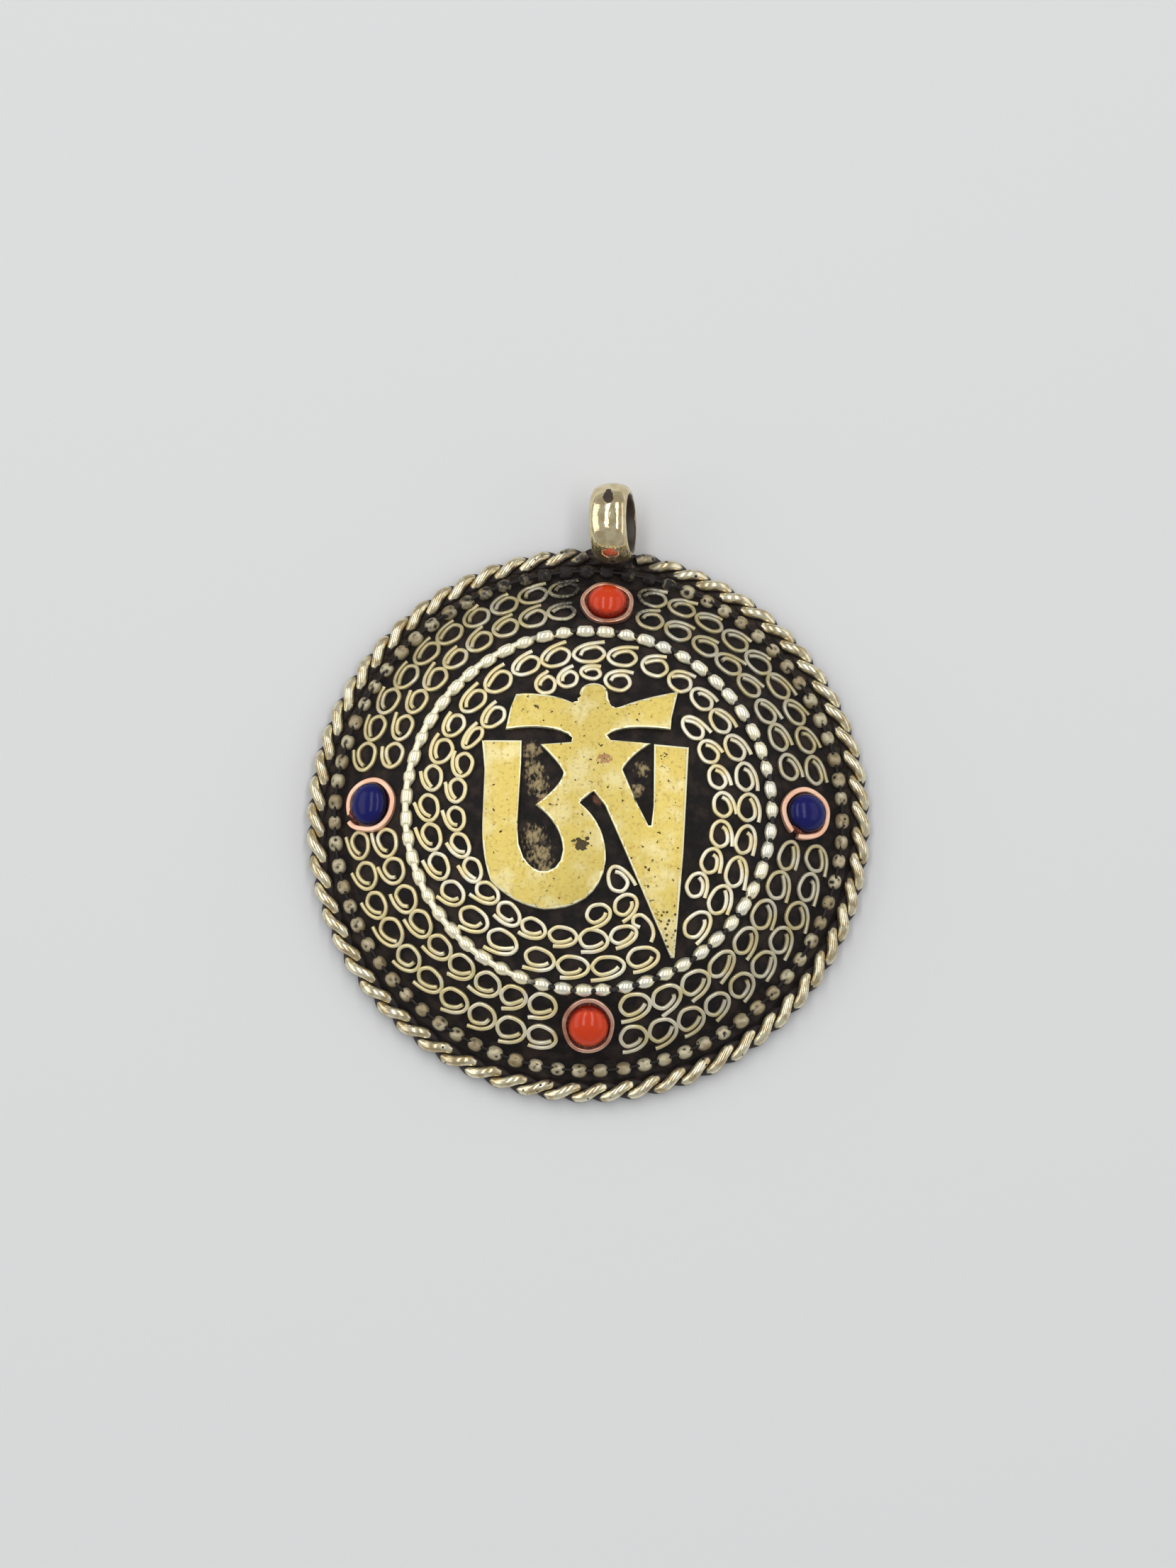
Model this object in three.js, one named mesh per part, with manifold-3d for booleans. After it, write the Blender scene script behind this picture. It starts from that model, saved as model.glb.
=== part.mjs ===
// Domed om pendant: a hollow body of two soldered sheets, a twisted rope rim, two bead rings,
// wire curls, four bezel-set stones, a cut om plate and a fixed band bail.
// Millimetres. The pendant lies on its flat back: +Z rises through the dome, +Y points to the bail,
// and the origin is the middle of the back face. Angles round the pendant are in degrees,
// clockwise from +Y as seen from the front.

import * as THREE from "three";
import { mergeVertices } from "three/addons/utils/BufferGeometryUtils.js";
import Module from "manifold-3d";

const wasm = await Module();
wasm.setup();

// Clearances
const solderGap = 0.05; // between pieces that are soldered or set against each other
const omSeatGap = 0.1; // below the om plate, which bridges the facets of the dome
const weldDistance = 1e-4; // points closer than this are one point of a mesh

// Hollow body
const plateRadius = 27.6;
const plateThickness = 0.8;
const sheetThickness = 0.8;
const flangeWidth = 1.7; // flat rim of the dome sheet, which carries the outer beads
const bandWidth = 7.0; // the steep band, from the flange in to the shallow crown
const bandHeight = 5.0;
const bandBulgeHeight = 0.25;
const crownHeight = 3.1;
const bodySides = 40;
const crownSteps = 4;
const bandSteps = 3;

// Rope rim of two twisted strands
const strandRadius = 0.52;
const strandGap = 0.18;
const ropeClearance = 0.1; // between the rope and the edge of the body
const ropeTurns = 32; // for a whole circle
const ropeGapLeft = 5.1; // angle left free on the left side of the bail
const ropeGapRight = 5.6;
const strandSides = 4;
const strandStepsPerTurn = 5;

// Bead rings
const outerBead = { count: 75, width: 1.55, height: 1.0, neck: 0.38, shoulder: 0.24, crown: 0.5 };
const innerBead = { count: 55, width: 1.3, height: 0.8, neck: 0.34, shoulder: 0.17, crown: 0.6 };

// Stones in their bezels
const settings = {
  coral_top: { angle: 3, stoneRadius: 2.02, joint: 0.38, isOpen: false },
  lapis_right: { angle: 88.7, stoneRadius: 2.05, joint: 0.33, isOpen: false },
  coral_bottom: { angle: 178.2, stoneRadius: 2.12, joint: 0.23, isOpen: false },
  lapis_left: { angle: 270.6, stoneRadius: 2.22, joint: 0.23, isOpen: true },
};
const settingLean = 26; // degrees outwards, less than the slope of the band
const bezelWall = 0.45;
const bezelHeight = 0.85; // of its rim over the dome, at the middle of the setting
const bezelTaper = 0.05;
const seamWidth = 0.3; // open joint of the bezel on the left
const seamAngle = 331;
const cementHeight = 0.45;
const girdleHeight = 0.12;
const stoneDomeHeight = 1.65;
const settingFoot = 0.9; // how far a setting's blank reaches below the dome, before it is cut to it
const bezelSides = 16;
const stoneSides = 14;
const stoneDomeSteps = 3;

// Wire curls
const wireWidth = 0.5;
const wireHeight = 0.42;
const curlSteps = 7;
const tailLift = 0.1; // of a tail's end, which is soldered onto the next loop
const tailReach = 0.12; // of a tail's end past the middle of the next loop's wire
const curlTurn = 400; // degrees from the inner end of a curl to the start of its tail
const curlStart = 0.36; // size of a curl at its inner end, as a share of its loop
const contactTurn = 25; // degrees from the near point of a loop to where the tail before it lands
const freeEnd = { across: 1.15, out: 0.75 }; // of a row's last tail, as shares of its loop
const wavering = { width: 0.03, height: 0.05, widthStep: 2.4, heightStep: 1.7 }; // of bent wire
const loopGap = 0.08; // between neighbouring loops, apart from their tails
const widestLoopRadius = 1.5;
const bezelRoom = 0.3; // between a bezel and the nearest curl
const rowRoom = 0.3; // between a bead ring and the strip that a row of curls fills
const rowGap = 0.4; // between the loops of two rows, along the slope
const outerRowCounts = [9, 10, 10, 10]; // in each quarter, clockwise from the upper stone
const innerRowCounts = [8, 8, 9, 9];

// Curls inside the inner bead ring. Their angles were read by hand from the photograph. A place in a
// field row is [angle, radius, height], where the row's own radius and height don't hold for it. These
// radii and heights are in the units of the om sign, so that the curls keep their places round it.
const ringRowAngles = [
  158.7, 171.4, 183.8, 195.9, 210.3, 223.7, 235.8, 246.7, 257.3, 268, 279.3, 289.8, 300.2, 311.4, 322.9,
  334.3, 345.9, 358, 370, 382.4, 393.2, 403.4, 413.8, 424.9, 436, 447.5, 459.5, 471.7, 483.5, 495.4,
];
const ringLoopHeight = 2.75;
const fieldLoopHeight = 2.6;
const fieldRowGap = 0.1; // between the loops of the ring row and those of the rows inside it
const fieldRows = {
  top: [[338.5], [348.8], [359, 14.25, 1.9], [370.5]],
  right: [[50], [62.5], [74.5], [87], [99.5], [112], [124]],
  left: [
    [163], [176], [189], [202], [214.5], [227], [239], [251], [263], [275], [287],
    [299.5, 14.15, 2.1], [311.5],
  ],
  hook: [[156.5, 8.1], [158, 11], [173, 11.4]],
};

// Om plate
const omThickness = 0.65;
const omRoom = 0.4; // from the tip of the sign to the inner bead ring
const omCentre = [-0.25, -1.25]; // of the sign, in its own units
const omTip = [9.54, -13.99]; // its point farthest from the middle of the pendant
const omCurveSteps = 3;

// Bail: a half-round band, soldered to the edge of the body
const bailOuterRadius = 4.35;
const bailInnerRadius = 3.2;
const bailWidth = 3.85;
const bailEdge = 0.4;
const bailAngle = 2.7;
const bailBodyGap = 0.1; // from the outer beads to the band
const bailLift = 0.1; // of the band above the plane of the back
const bailTwist = 10.6; // turned so that its right mouth shows from the front
const bailLean = 3.6;
const bailSides = 28;
const bandProfileSteps = 6;
const saddleHalfWidth = 1.7;
const saddleReach = 2.3;
const saddleHeight = 2.6;

// Values that follow
const turn = Math.PI * 2;
const degree = Math.PI / 180;
const flangeTop = plateThickness + solderGap + sheetThickness;
const footRadius = plateRadius - flangeWidth;
const bandTop = flangeTop + bandHeight;
const crownRadius = footRadius - bandWidth;
const crownSphere = (crownRadius ** 2 + crownHeight ** 2) / (2 * crownHeight);
const strandOffset = strandRadius + strandGap / 2;
const ropeThickness = 2 * (strandRadius + strandOffset);
const ropeRadius = plateRadius + ropeClearance + ropeThickness / 2;
const beadRadius = plateRadius - outerBead.width / 2 - solderGap;
const bandInnerEdge = crownRadius + innerBead.width / 2 + rowRoom;
const bandOuterEdge = beadRadius - outerBead.width / 2 - rowRoom;
const stoneRowRadius = (bandInnerEdge + bandOuterEdge) / 2;
const rowPitch = (bandOuterEdge - bandInnerEdge) / 2;
const outerRowRadius = stoneRowRadius + rowPitch / 2;
const innerRowRadius = stoneRowRadius - rowPitch / 2;
const ringRowRadius = crownRadius - innerBead.width / 2 - rowRoom - ringLoopHeight / 2;
const signScale =
  (crownRadius - innerBead.width / 2 - omRoom) / Math.hypot(omTip[0] + omCentre[0], omTip[1] + omCentre[1]);
const fieldRowRadius = ringRowRadius - (ringLoopHeight + fieldLoopHeight * signScale) / 2 - fieldRowGap;
const bailDistance = beadRadius + outerBead.width / 2 + bailBodyGap + bailOuterRadius;
const bailHeight = bailLift + bailOuterRadius;

// Finishes
const blackened = { color: 0x2f2723, roughness: 0.6, metalness: 0.7 };
const rubbedSilver = { color: 0xd8cfae, roughness: 0.35, metalness: 0.9 };
const wornBrass = { color: 0xe2cb78, roughness: 0.38, metalness: 0.9 };
const paleBrass = { color: 0xd9cfa0, roughness: 0.25, metalness: 0.95 };
const copper = { color: 0xdf9a78, roughness: 0.35, metalness: 0.9 };
const coral = { color: 0xd9361c, roughness: 0.3, metalness: 0 };
const lapis = { color: 0x1f2a72, roughness: 0.3, metalness: 0 };
const redCement = { color: 0x5a261c, roughness: 0.9, metalness: 0 };

// Mesh helpers

function welded(geometry) {
  geometry.deleteAttribute("normal");
  geometry.deleteAttribute("uv");
  const merged = mergeVertices(geometry, weldDistance);
  const corners = merged.index.array;
  const kept = [];
  for (let i = 0; i < corners.length; i += 3) {
    const [a, b, c] = corners.slice(i, i + 3);
    if (a !== b && b !== c && c !== a) kept.push(a, b, c);
  }
  merged.setIndex(kept);
  return merged;
}

function toSolid(geometry) {
  const mesh = welded(geometry);
  return new wasm.Manifold(
    new wasm.Mesh({
      numProp: 3,
      vertProperties: new Float32Array(mesh.attributes.position.array),
      triVerts: new Uint32Array(mesh.index.array),
    }),
  );
}

function toGeometry(solid) {
  const mesh = solid.getMesh();
  const geometry = new THREE.BufferGeometry();
  geometry.setAttribute("position", new THREE.BufferAttribute(mesh.vertProperties, 3));
  geometry.setIndex(new THREE.BufferAttribute(mesh.triVerts, 1));
  return geometry;
}

function part(name, geometry, finish) {
  const mesh = new THREE.Mesh(welded(geometry), new THREE.MeshStandardMaterial(finish));
  mesh.name = name;
  return mesh;
}

// A solid of revolution about Z, from [radius, height] points that run counter-clockwise.
function revolved(profile, sides) {
  const points = profile.map(([radius, height]) => new THREE.Vector2(radius, height));
  return new THREE.LatheGeometry(points, sides).rotateX(Math.PI / 2);
}

function moveVertices(geometry, change) {
  const position = geometry.attributes.position;
  const point = new THREE.Vector3();
  for (let i = 0; i < position.count; i++) {
    point.fromBufferAttribute(position, i);
    const moved = change(point);
    position.setXYZ(i, moved.x, moved.y, moved.z);
  }
  return geometry;
}

function polygonSection(radius, sides) {
  const corners = [];
  for (let i = 0; i < sides; i++) {
    const angle = (turn * i) / sides;
    corners.push(new THREE.Vector2(radius * Math.cos(angle), radius * Math.sin(angle)));
  }
  return new THREE.Shape(corners);
}

// Front surface of the dome sheet

function surfaceHeight(radius) {
  if (radius >= footRadius) return flangeTop;
  if (radius >= crownRadius) {
    const share = (footRadius - radius) / (footRadius - crownRadius);
    return flangeTop + bandHeight * share + 4 * bandBulgeHeight * share * (1 - share);
  }
  const drop = crownSphere - Math.sqrt(crownSphere ** 2 - radius ** 2);
  return bandTop + crownHeight - drop;
}

function surfaceSlope(radius) {
  const step = 0.05;
  const inner = Math.max(radius - step, 0);
  const fall = surfaceHeight(inner) - surfaceHeight(radius + step);
  return Math.atan2(fall, radius + step - inner);
}

// A point at a distance from the surface, along its normal, in the radial plane.
function surfacePoint(radius, lift) {
  const slope = surfaceSlope(radius);
  return [radius + lift * Math.sin(slope), surfaceHeight(radius) + lift * Math.cos(slope)];
}

function surfaceRadii(outermost) {
  const radii = [];
  for (let i = 0; i < crownSteps; i++) radii.push((crownRadius * i) / crownSteps);
  for (let i = 0; i <= bandSteps; i++) {
    radii.push(crownRadius + ((footRadius - crownRadius) * i) / bandSteps);
  }
  return radii.filter((radius) => radius <= outermost);
}

// A point of the pendant from a clockwise angle in radians, a radius and a height.
function around(angle, radius, height) {
  return new THREE.Vector3(radius * Math.sin(angle), radius * Math.cos(angle), height);
}

// Hollow body

function backPlate() {
  const profile = [
    [0, 0],
    [plateRadius, 0],
    [plateRadius, plateThickness],
    [0, plateThickness],
  ];
  return part("back_plate", revolved(profile, bodySides), blackened);
}

function domePlate() {
  const front = surfaceRadii(footRadius).map((radius) => [radius, surfaceHeight(radius)]);
  const flangeUnderside = flangeTop - sheetThickness;
  const innerFoot = footRadius - sheetThickness * Math.tan(surfaceSlope(footRadius - flangeWidth) / 2);
  const back = [0, crownRadius / 2, crownRadius].map((radius) => surfacePoint(radius, -sheetThickness));
  back[0][0] = 0;
  const profile = [
    ...back,
    [innerFoot, flangeUnderside],
    [plateRadius, flangeUnderside],
    [plateRadius, flangeTop],
    ...front.reverse(),
  ];
  return part("dome_plate", revolved(profile, bodySides), blackened);
}

// Rope rim

class StrandPath extends THREE.Curve {
  constructor(phase) {
    super();
    this.phase = phase;
    this.from = (bailAngle + ropeGapRight) * degree;
    this.to = (bailAngle - ropeGapLeft) * degree + turn;
  }

  getPoint(t, target = new THREE.Vector3()) {
    const angle = this.from + (this.to - this.from) * t;
    const lay = this.phase - ropeTurns * angle;
    const radius = ropeRadius + strandOffset * Math.cos(lay);
    const height = ropeThickness / 2 + strandOffset * Math.sin(lay);
    return target.copy(around(angle, radius, height));
  }

  // Steps are even in angle, so no length has to be measured.
  getUtoTmapping(u) {
    return u;
  }
}

function ropeStrand(name, phase) {
  const path = new StrandPath(phase);
  const steps = Math.round((strandStepsPerTurn * ropeTurns * (path.to - path.from)) / turn);
  const section = polygonSection(strandRadius, strandSides);
  const geometry = new THREE.ExtrudeGeometry(section, { steps, extrudePath: path, bevelEnabled: false });
  return part(name, geometry, rubbedSilver);
}

// Bead rings

// A beaded wire bent into a ring: each bead swells from a thin neck to a flattened crown.
function beadRing(name, radius, bead, finish) {
  const stations = [
    [0, bead.neck],
    [bead.shoulder, 1],
    [1 - bead.shoulder, 1],
  ];
  const section = [
    [-0.5, 0],
    [0.5, 0],
    [0.5 * bead.crown, 1],
    [-0.5 * bead.crown, 1],
  ];
  const slope = surfaceSlope(radius);
  const positions = [];
  for (let i = 0; i < bead.count; i++) {
    for (const [share, size] of stations) {
      const angle = (turn * (i + share)) / bead.count;
      for (const [across, up] of section) {
        const side = across * bead.width * size;
        const rise = solderGap + up * bead.height * size;
        const reach = radius + side * Math.cos(slope) + rise * Math.sin(slope);
        const height = surfaceHeight(radius) - side * Math.sin(slope) + rise * Math.cos(slope);
        positions.push(...around(angle, reach, height).toArray());
      }
    }
  }
  const rings = bead.count * stations.length;
  const sides = section.length;
  const corners = [];
  for (let ring = 0; ring < rings; ring++) {
    const next = (ring + 1) % rings;
    for (let side = 0; side < sides; side++) {
      const beside = (side + 1) % sides;
      const [a, b] = [ring * sides + side, ring * sides + beside];
      const [c, d] = [next * sides + beside, next * sides + side];
      corners.push(a, b, c, a, c, d);
    }
  }
  const geometry = new THREE.BufferGeometry();
  geometry.setAttribute("position", new THREE.Float32BufferAttribute(positions, 3));
  geometry.setIndex(corners);
  return part(name, geometry, finish);
}

// Wire curls

// Flat path of one curl: out from its inner end, round its loop and off along its tail.
class CurlPath extends THREE.Curve {
  constructor(halfWidth, halfHeight, tailEnd) {
    super();
    this.halfWidth = halfWidth;
    this.halfHeight = halfHeight;
    this.tailEnd = tailEnd;
  }

  getPoint(t, target = new THREE.Vector3()) {
    const tailShare = 1 / curlSteps;
    const loop = Math.min(t / (1 - tailShare), 1);
    const angle = (90 + curlTurn * (1 - loop)) * degree;
    const size = curlStart + (1 - curlStart) * THREE.MathUtils.smoothstep(loop * curlTurn, 0, 270);
    target.set(this.halfWidth * size * Math.cos(angle), this.halfHeight * size * Math.sin(angle), 0);
    const tail = Math.max((t - 1 + tailShare) / tailShare, 0);
    return target.lerp(this.tailEnd, tail);
  }

  // Steps are even in turn, so that small loops stay round.
  getUtoTmapping(u) {
    return u;
  }
}

// Section of the wire: a flat foot on the dome and a ridge on top. Its x runs down from the path.
function wireSection() {
  const half = wireWidth / 2;
  return new THREE.Shape([
    new THREE.Vector2(-solderGap, -half),
    new THREE.Vector2(-solderGap, half),
    new THREE.Vector2(-solderGap - wireHeight, 0),
  ]);
}

// Plan distances of a curl are measured along the row and up the slope.
function ontoDome(curl, across, out, lift) {
  const radius = curl.radius + out * Math.cos(surfaceSlope(curl.radius));
  const [reach, height] = surfacePoint(radius, lift);
  return around(curl.angle + across / curl.radius, reach, height);
}

function towards(curl, other) {
  const across = (other.angle - curl.angle) * curl.radius;
  const out = (other.radius - curl.radius) / Math.cos(surfaceSlope(curl.radius));
  return new THREE.Vector2(across, out);
}

// Where a tail meets the loop of the next curl, seen from the curl that the tail leaves.
function tailContact(curl, next) {
  const way = towards(curl, next);
  const facing = Math.atan2(way.y, way.x) + Math.PI - contactTurn * degree;
  const across = (next.halfWidth - tailReach) * Math.cos(facing);
  const out = (next.halfHeight - tailReach) * Math.sin(facing);
  return way.add(new THREE.Vector2(across, out));
}

function curlSolid(curl, next) {
  const heading = next ? towards(curl, next).angle() : 0;
  const free = new THREE.Vector2(freeEnd.across * curl.halfWidth, freeEnd.out * curl.halfHeight);
  const end = next ? tailContact(curl, next) : free;
  end.rotateAround(new THREE.Vector2(), -heading);
  const tailEnd = new THREE.Vector3(end.x, end.y, next ? tailLift : 0);
  const path = new CurlPath(curl.halfWidth, curl.halfHeight, tailEnd);
  const options = { steps: curlSteps, extrudePath: path, bevelEnabled: false };
  const geometry = new THREE.ExtrudeGeometry(wireSection(), options).rotateZ(heading);
  return toSolid(moveVertices(geometry, (point) => ontoDome(curl, point.x, point.y, point.z)));
}

// Loops fill the space between neighbours, and vary a little as bent wire does.
function curlSizes(places, loopHeight) {
  const curls = places.map(([angle, radius, ownHeight]) => ({ angle: angle * degree, radius, ownHeight }));
  const spaces = curls.slice(1).map((curl, i) => towards(curls[i], curl).length());
  return curls.map((curl, i) => {
    const space = Math.min(spaces[i - 1] ?? Infinity, spaces[i] ?? Infinity);
    const room = (space - wireWidth - loopGap) / 2;
    const height = (curl.ownHeight ?? loopHeight) - wireWidth;
    const widthShare = 1 + wavering.width * Math.sin(wavering.widthStep * i);
    const heightShare = 1 + wavering.height * Math.cos(wavering.heightStep * i);
    const halfWidth = Math.min(room, widestLoopRadius) * widthShare;
    const halfHeight = (height / 2) * heightShare;
    return { ...curl, halfWidth, halfHeight };
  });
}

function curlChain(name, places, loopHeight) {
  const curls = curlSizes(places, loopHeight);
  const solids = curls.map((curl, i) => curlSolid(curl, curls[i + 1]));
  return part(name, toGeometry(solids.reduce((all, one) => all.add(one))), rubbedSilver);
}

// Angle that a setting keeps free on each of its sides, in a row at a radius.
function keptAngle(setting, radius) {
  return (bezelRadius(setting) + bezelRoom) / radius / degree;
}

// One row of curls between two bezels.
function bezelToBezel(name, from, to, radius, count) {
  const start = from.angle + keptAngle(from, radius);
  const end = to.angle - keptAngle(to, radius) + (to.angle < from.angle ? 360 : 0);
  const pitch = (end - start) / count;
  const places = [];
  for (let i = 0; i < count; i++) places.push([start + pitch * (i + 0.5), radius]);
  return curlChain(name, places, rowPitch / Math.cos(surfaceSlope(radius)) - rowGap);
}

function bandCurls() {
  const stops = Object.values(settings);
  const quarters = ["upper_right", "lower_right", "lower_left", "upper_left"];
  return quarters.flatMap((quarter, i) => {
    const from = stops[i];
    const to = stops[(i + 1) % stops.length];
    return [
      bezelToBezel(`outer_curls_${quarter}`, from, to, outerRowRadius, outerRowCounts[i]),
      bezelToBezel(`inner_curls_${quarter}`, from, to, innerRowRadius, innerRowCounts[i]),
    ];
  });
}

function fieldCurls() {
  const ringPlaces = ringRowAngles.map((angle) => [angle, ringRowRadius]);
  const chains = Object.entries(fieldRows).map(([name, places]) => {
    const scaled = places.map(([angle, radius, height = fieldLoopHeight]) => {
      return [angle, radius ? radius * signScale : fieldRowRadius, height * signScale];
    });
    return curlChain(`field_curls_${name}`, scaled, fieldLoopHeight);
  });
  return [curlChain("field_curls_ring", ringPlaces, ringLoopHeight), ...chains];
}

// Stones. A setting's own Z is its axis, and its foot is cut to the slope of the dome.

function bezelRadius(setting) {
  return setting.stoneRadius + setting.joint + bezelWall;
}

function settingPose(setting) {
  const pose = new THREE.Object3D();
  pose.position.copy(around(setting.angle * degree, stoneRowRadius, surfaceHeight(stoneRowRadius)));
  pose.rotation.set(-settingLean * degree, 0, -setting.angle * degree, "ZYX");
  pose.updateMatrix();
  return pose.matrix;
}

// The body that a setting is cut to: the dome, grown by the gap of the solder.
function domeSocket() {
  const front = surfaceRadii(footRadius).map((radius) => surfacePoint(radius, solderGap));
  front[0][0] = 0;
  const profile = [[0, 0], [plateRadius, 0], [plateRadius, flangeTop], ...front.reverse()];
  return toSolid(revolved(profile, bodySides));
}

function fittedToDome(geometry, setting) {
  const placed = toSolid(geometry.applyMatrix4(settingPose(setting)));
  return toGeometry(placed.subtract(domeSocket()));
}

function bezel(name, setting) {
  const outside = bezelRadius(setting);
  const inside = outside - bezelWall;
  const profile = [
    [inside, -settingFoot],
    [outside, -settingFoot],
    [outside - bezelTaper, bezelHeight],
    [inside + bezelTaper, bezelHeight],
  ];
  profile.push(profile[0]);
  const ring = revolved(profile, bezelSides);
  if (!setting.isOpen) return part(name, fittedToDome(ring, setting), copper);
  const cut = new THREE.BoxGeometry(seamWidth, outside * 2, bezelHeight * 4);
  cut.translate(0, outside, 0).rotateZ(-seamAngle * degree);
  const open = toGeometry(toSolid(ring).subtract(toSolid(cut)));
  return part(name, fittedToDome(open, setting), copper);
}

function cementBed(name, setting) {
  const radius = setting.stoneRadius + setting.joint - solderGap;
  const profile = [
    [0, -settingFoot],
    [radius, -settingFoot],
    [radius, cementHeight],
    [0, cementHeight],
  ];
  return part(name, fittedToDome(revolved(profile, stoneSides), setting), redCement);
}

function cabochon(name, setting, finish) {
  const base = cementHeight + solderGap;
  const profile = [
    [0, base],
    [setting.stoneRadius, base],
  ];
  for (let i = 0; i <= stoneDomeSteps; i++) {
    const angle = (Math.PI / 2) * (i / stoneDomeSteps);
    const rise = girdleHeight + stoneDomeHeight * Math.sin(angle);
    profile.push([setting.stoneRadius * Math.cos(angle), base + rise]);
  }
  profile[profile.length - 1][0] = 0;
  return part(name, revolved(profile, stoneSides).applyMatrix4(settingPose(setting)), finish);
}

function stoneSetting(name, setting) {
  const finish = name.startsWith("coral") ? coral : lapis;
  return [
    bezel(`bezel_${name}`, setting),
    cementBed(`cement_${name}`, setting),
    cabochon(`stone_${name}`, setting, finish),
  ];
}

// Om plate: the sign cut from sheet and formed over the crown

// Outline in plan, clockwise from the left end of the crescent, about the middle of the sign.
function omOutline() {
  const outline = new THREE.Shape();
  // Upper edge of the crescent, with the drop that stands on it
  outline.moveTo(-8.67, 8.97);
  outline.lineTo(-8.26, 11.39);
  outline.lineTo(-7.73, 12.91);
  outline.quadraticCurveTo(-4.2, 13.2, -1.7, 11.98);
  outline.quadraticCurveTo(-1.05, 12.1, -1.13, 13.24);
  outline.bezierCurveTo(-0.9, 14.6, 1.6, 14.7, 1.8, 13.2);
  outline.quadraticCurveTo(1.85, 11.8, 2.69, 11.57);
  outline.quadraticCurveTo(5.39, 12.9, 9.1, 13.8);
  // Lower edge of the crescent, down to the neck
  outline.lineTo(8.49, 10.77);
  outline.lineTo(8.43, 9.57);
  outline.quadraticCurveTo(3.2, 9.95, 1.85, 8.58);
  outline.lineTo(2.12, 8.1);
  // Slot between the waist and the upright
  outline.lineTo(6.38, 7.91);
  outline.quadraticCurveTo(4.4, 6.6, 3.56, 5.01);
  outline.lineTo(4.98, 1.86);
  outline.lineTo(6.4, -0.74);
  outline.lineTo(6.68, -0.73);
  outline.lineTo(6.86, 1.32);
  outline.lineTo(6.73, 7.88);
  // Upright, its foot and the slanting stroke
  outline.lineTo(10.36, 7.75);
  outline.lineTo(10.09, -3.37);
  outline.lineTo(...omTip);
  outline.lineTo(9.15, -14);
  outline.lineTo(6.94, -9.47);
  outline.lineTo(1.88, 1.15);
  outline.lineTo(0.65, 2.6);
  // Outside of the lower bowl
  outline.lineTo(-0.77, 1.35);
  outline.quadraticCurveTo(2.1, -0.8, 2.17, -4.45);
  outline.bezierCurveTo(1.9, -8.2, -0.9, -9.66, -4.01, -9.66);
  outline.quadraticCurveTo(-7.2, -9.3, -9.58, -6.86);
  outline.quadraticCurveTo(-10.6, -4.4, -10.66, -1.09);
  outline.lineTo(-10.67, 4.71);
  outline.lineTo(-11.07, 7.8);
  // Inside of the bowls
  outline.lineTo(-6.93, 7.8);
  outline.lineTo(-6.89, 5.64);
  outline.lineTo(-7.04, -1.17);
  outline.bezierCurveTo(-7, -7, -2.3, -6.9, -2.27, -3.6);
  outline.quadraticCurveTo(-2.5, -0.9, -5.26, 1);
  outline.quadraticCurveTo(-2.7, 3, -2.5, 4.4);
  outline.quadraticCurveTo(-2.7, 5.2, -4.99, 7.41);
  outline.lineTo(-1.68, 7.73);
  // Neck and underside of the crescent's left arm
  outline.lineTo(-1.6, 8.23);
  outline.quadraticCurveTo(-4, 9.9, -8.67, 8.97);
  return outline;
}

function omPlate() {
  const seat = surfaceRadii(crownRadius);
  const under = seat.map((radius) => [radius, surfaceHeight(radius) + omSeatGap]);
  const over = seat.map((radius) => [radius, surfaceHeight(radius) + omSeatGap + omThickness]);
  const blank = revolved([...under, ...over.reverse()], bodySides / 2);
  const depth = surfaceHeight(0) * 2;
  const options = { depth, curveSegments: omCurveSteps, bevelEnabled: false };
  const cutter = new THREE.ExtrudeGeometry(omOutline(), options);
  cutter.translate(...omCentre, 0).scale(signScale, signScale, 1);
  return part("om_plate", toGeometry(toSolid(blank).intersect(toSolid(cutter))), wornBrass);
}

// Bail

// Half-round section of the band, grown by a margin, from [radius, distance along the axis] points.
function bandOutside(margin) {
  const points = [];
  for (let i = 0; i <= bandProfileSteps; i++) {
    const share = (2 * i) / bandProfileSteps - 1;
    const bulge = bailOuterRadius - bailInnerRadius - bailEdge;
    const radius = bailInnerRadius + bailEdge + bulge * Math.sqrt(1 - share ** 2);
    points.push([radius + margin, share * (bailWidth / 2 + margin)]);
  }
  return points;
}

function bailPose(geometry) {
  const pose = new THREE.Object3D();
  pose.position.set(0, bailDistance, bailHeight);
  pose.rotation.set(0, -bailTwist * degree, bailLean * degree, "ZYX");
  pose.updateMatrix();
  return geometry.rotateY(Math.PI / 2).applyMatrix4(pose.matrix);
}

function bailSolder() {
  const socketProfile = [[0, -bailWidth], ...bandOutside(solderGap), [0, bailWidth]];
  socketProfile[0][1] = socketProfile[1][1];
  socketProfile[socketProfile.length - 1][1] = socketProfile[socketProfile.length - 2][1];
  const socket = bailPose(revolved(socketProfile, bailSides));
  const near = plateRadius + solderGap;
  const far = plateRadius + saddleReach;
  const side = new THREE.Shape();
  side.moveTo(near, solderGap);
  side.lineTo(far, solderGap);
  side.lineTo(far, saddleHeight / 2);
  side.quadraticCurveTo(near + saddleReach / 2, saddleHeight, near, saddleHeight);
  const options = { depth: 2 * saddleHalfWidth, curveSegments: 4, bevelEnabled: false };
  const block = new THREE.ExtrudeGeometry(side, options);
  // The side profile lies across the edge of the body, and is drawn out along it.
  block.translate(0, 0, -saddleHalfWidth);
  const posed = moveVertices(block, (point) => new THREE.Vector3(point.z, point.x, point.y));
  return part("bail_solder", toGeometry(toSolid(posed).subtract(toSolid(socket))), blackened);
}

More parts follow.
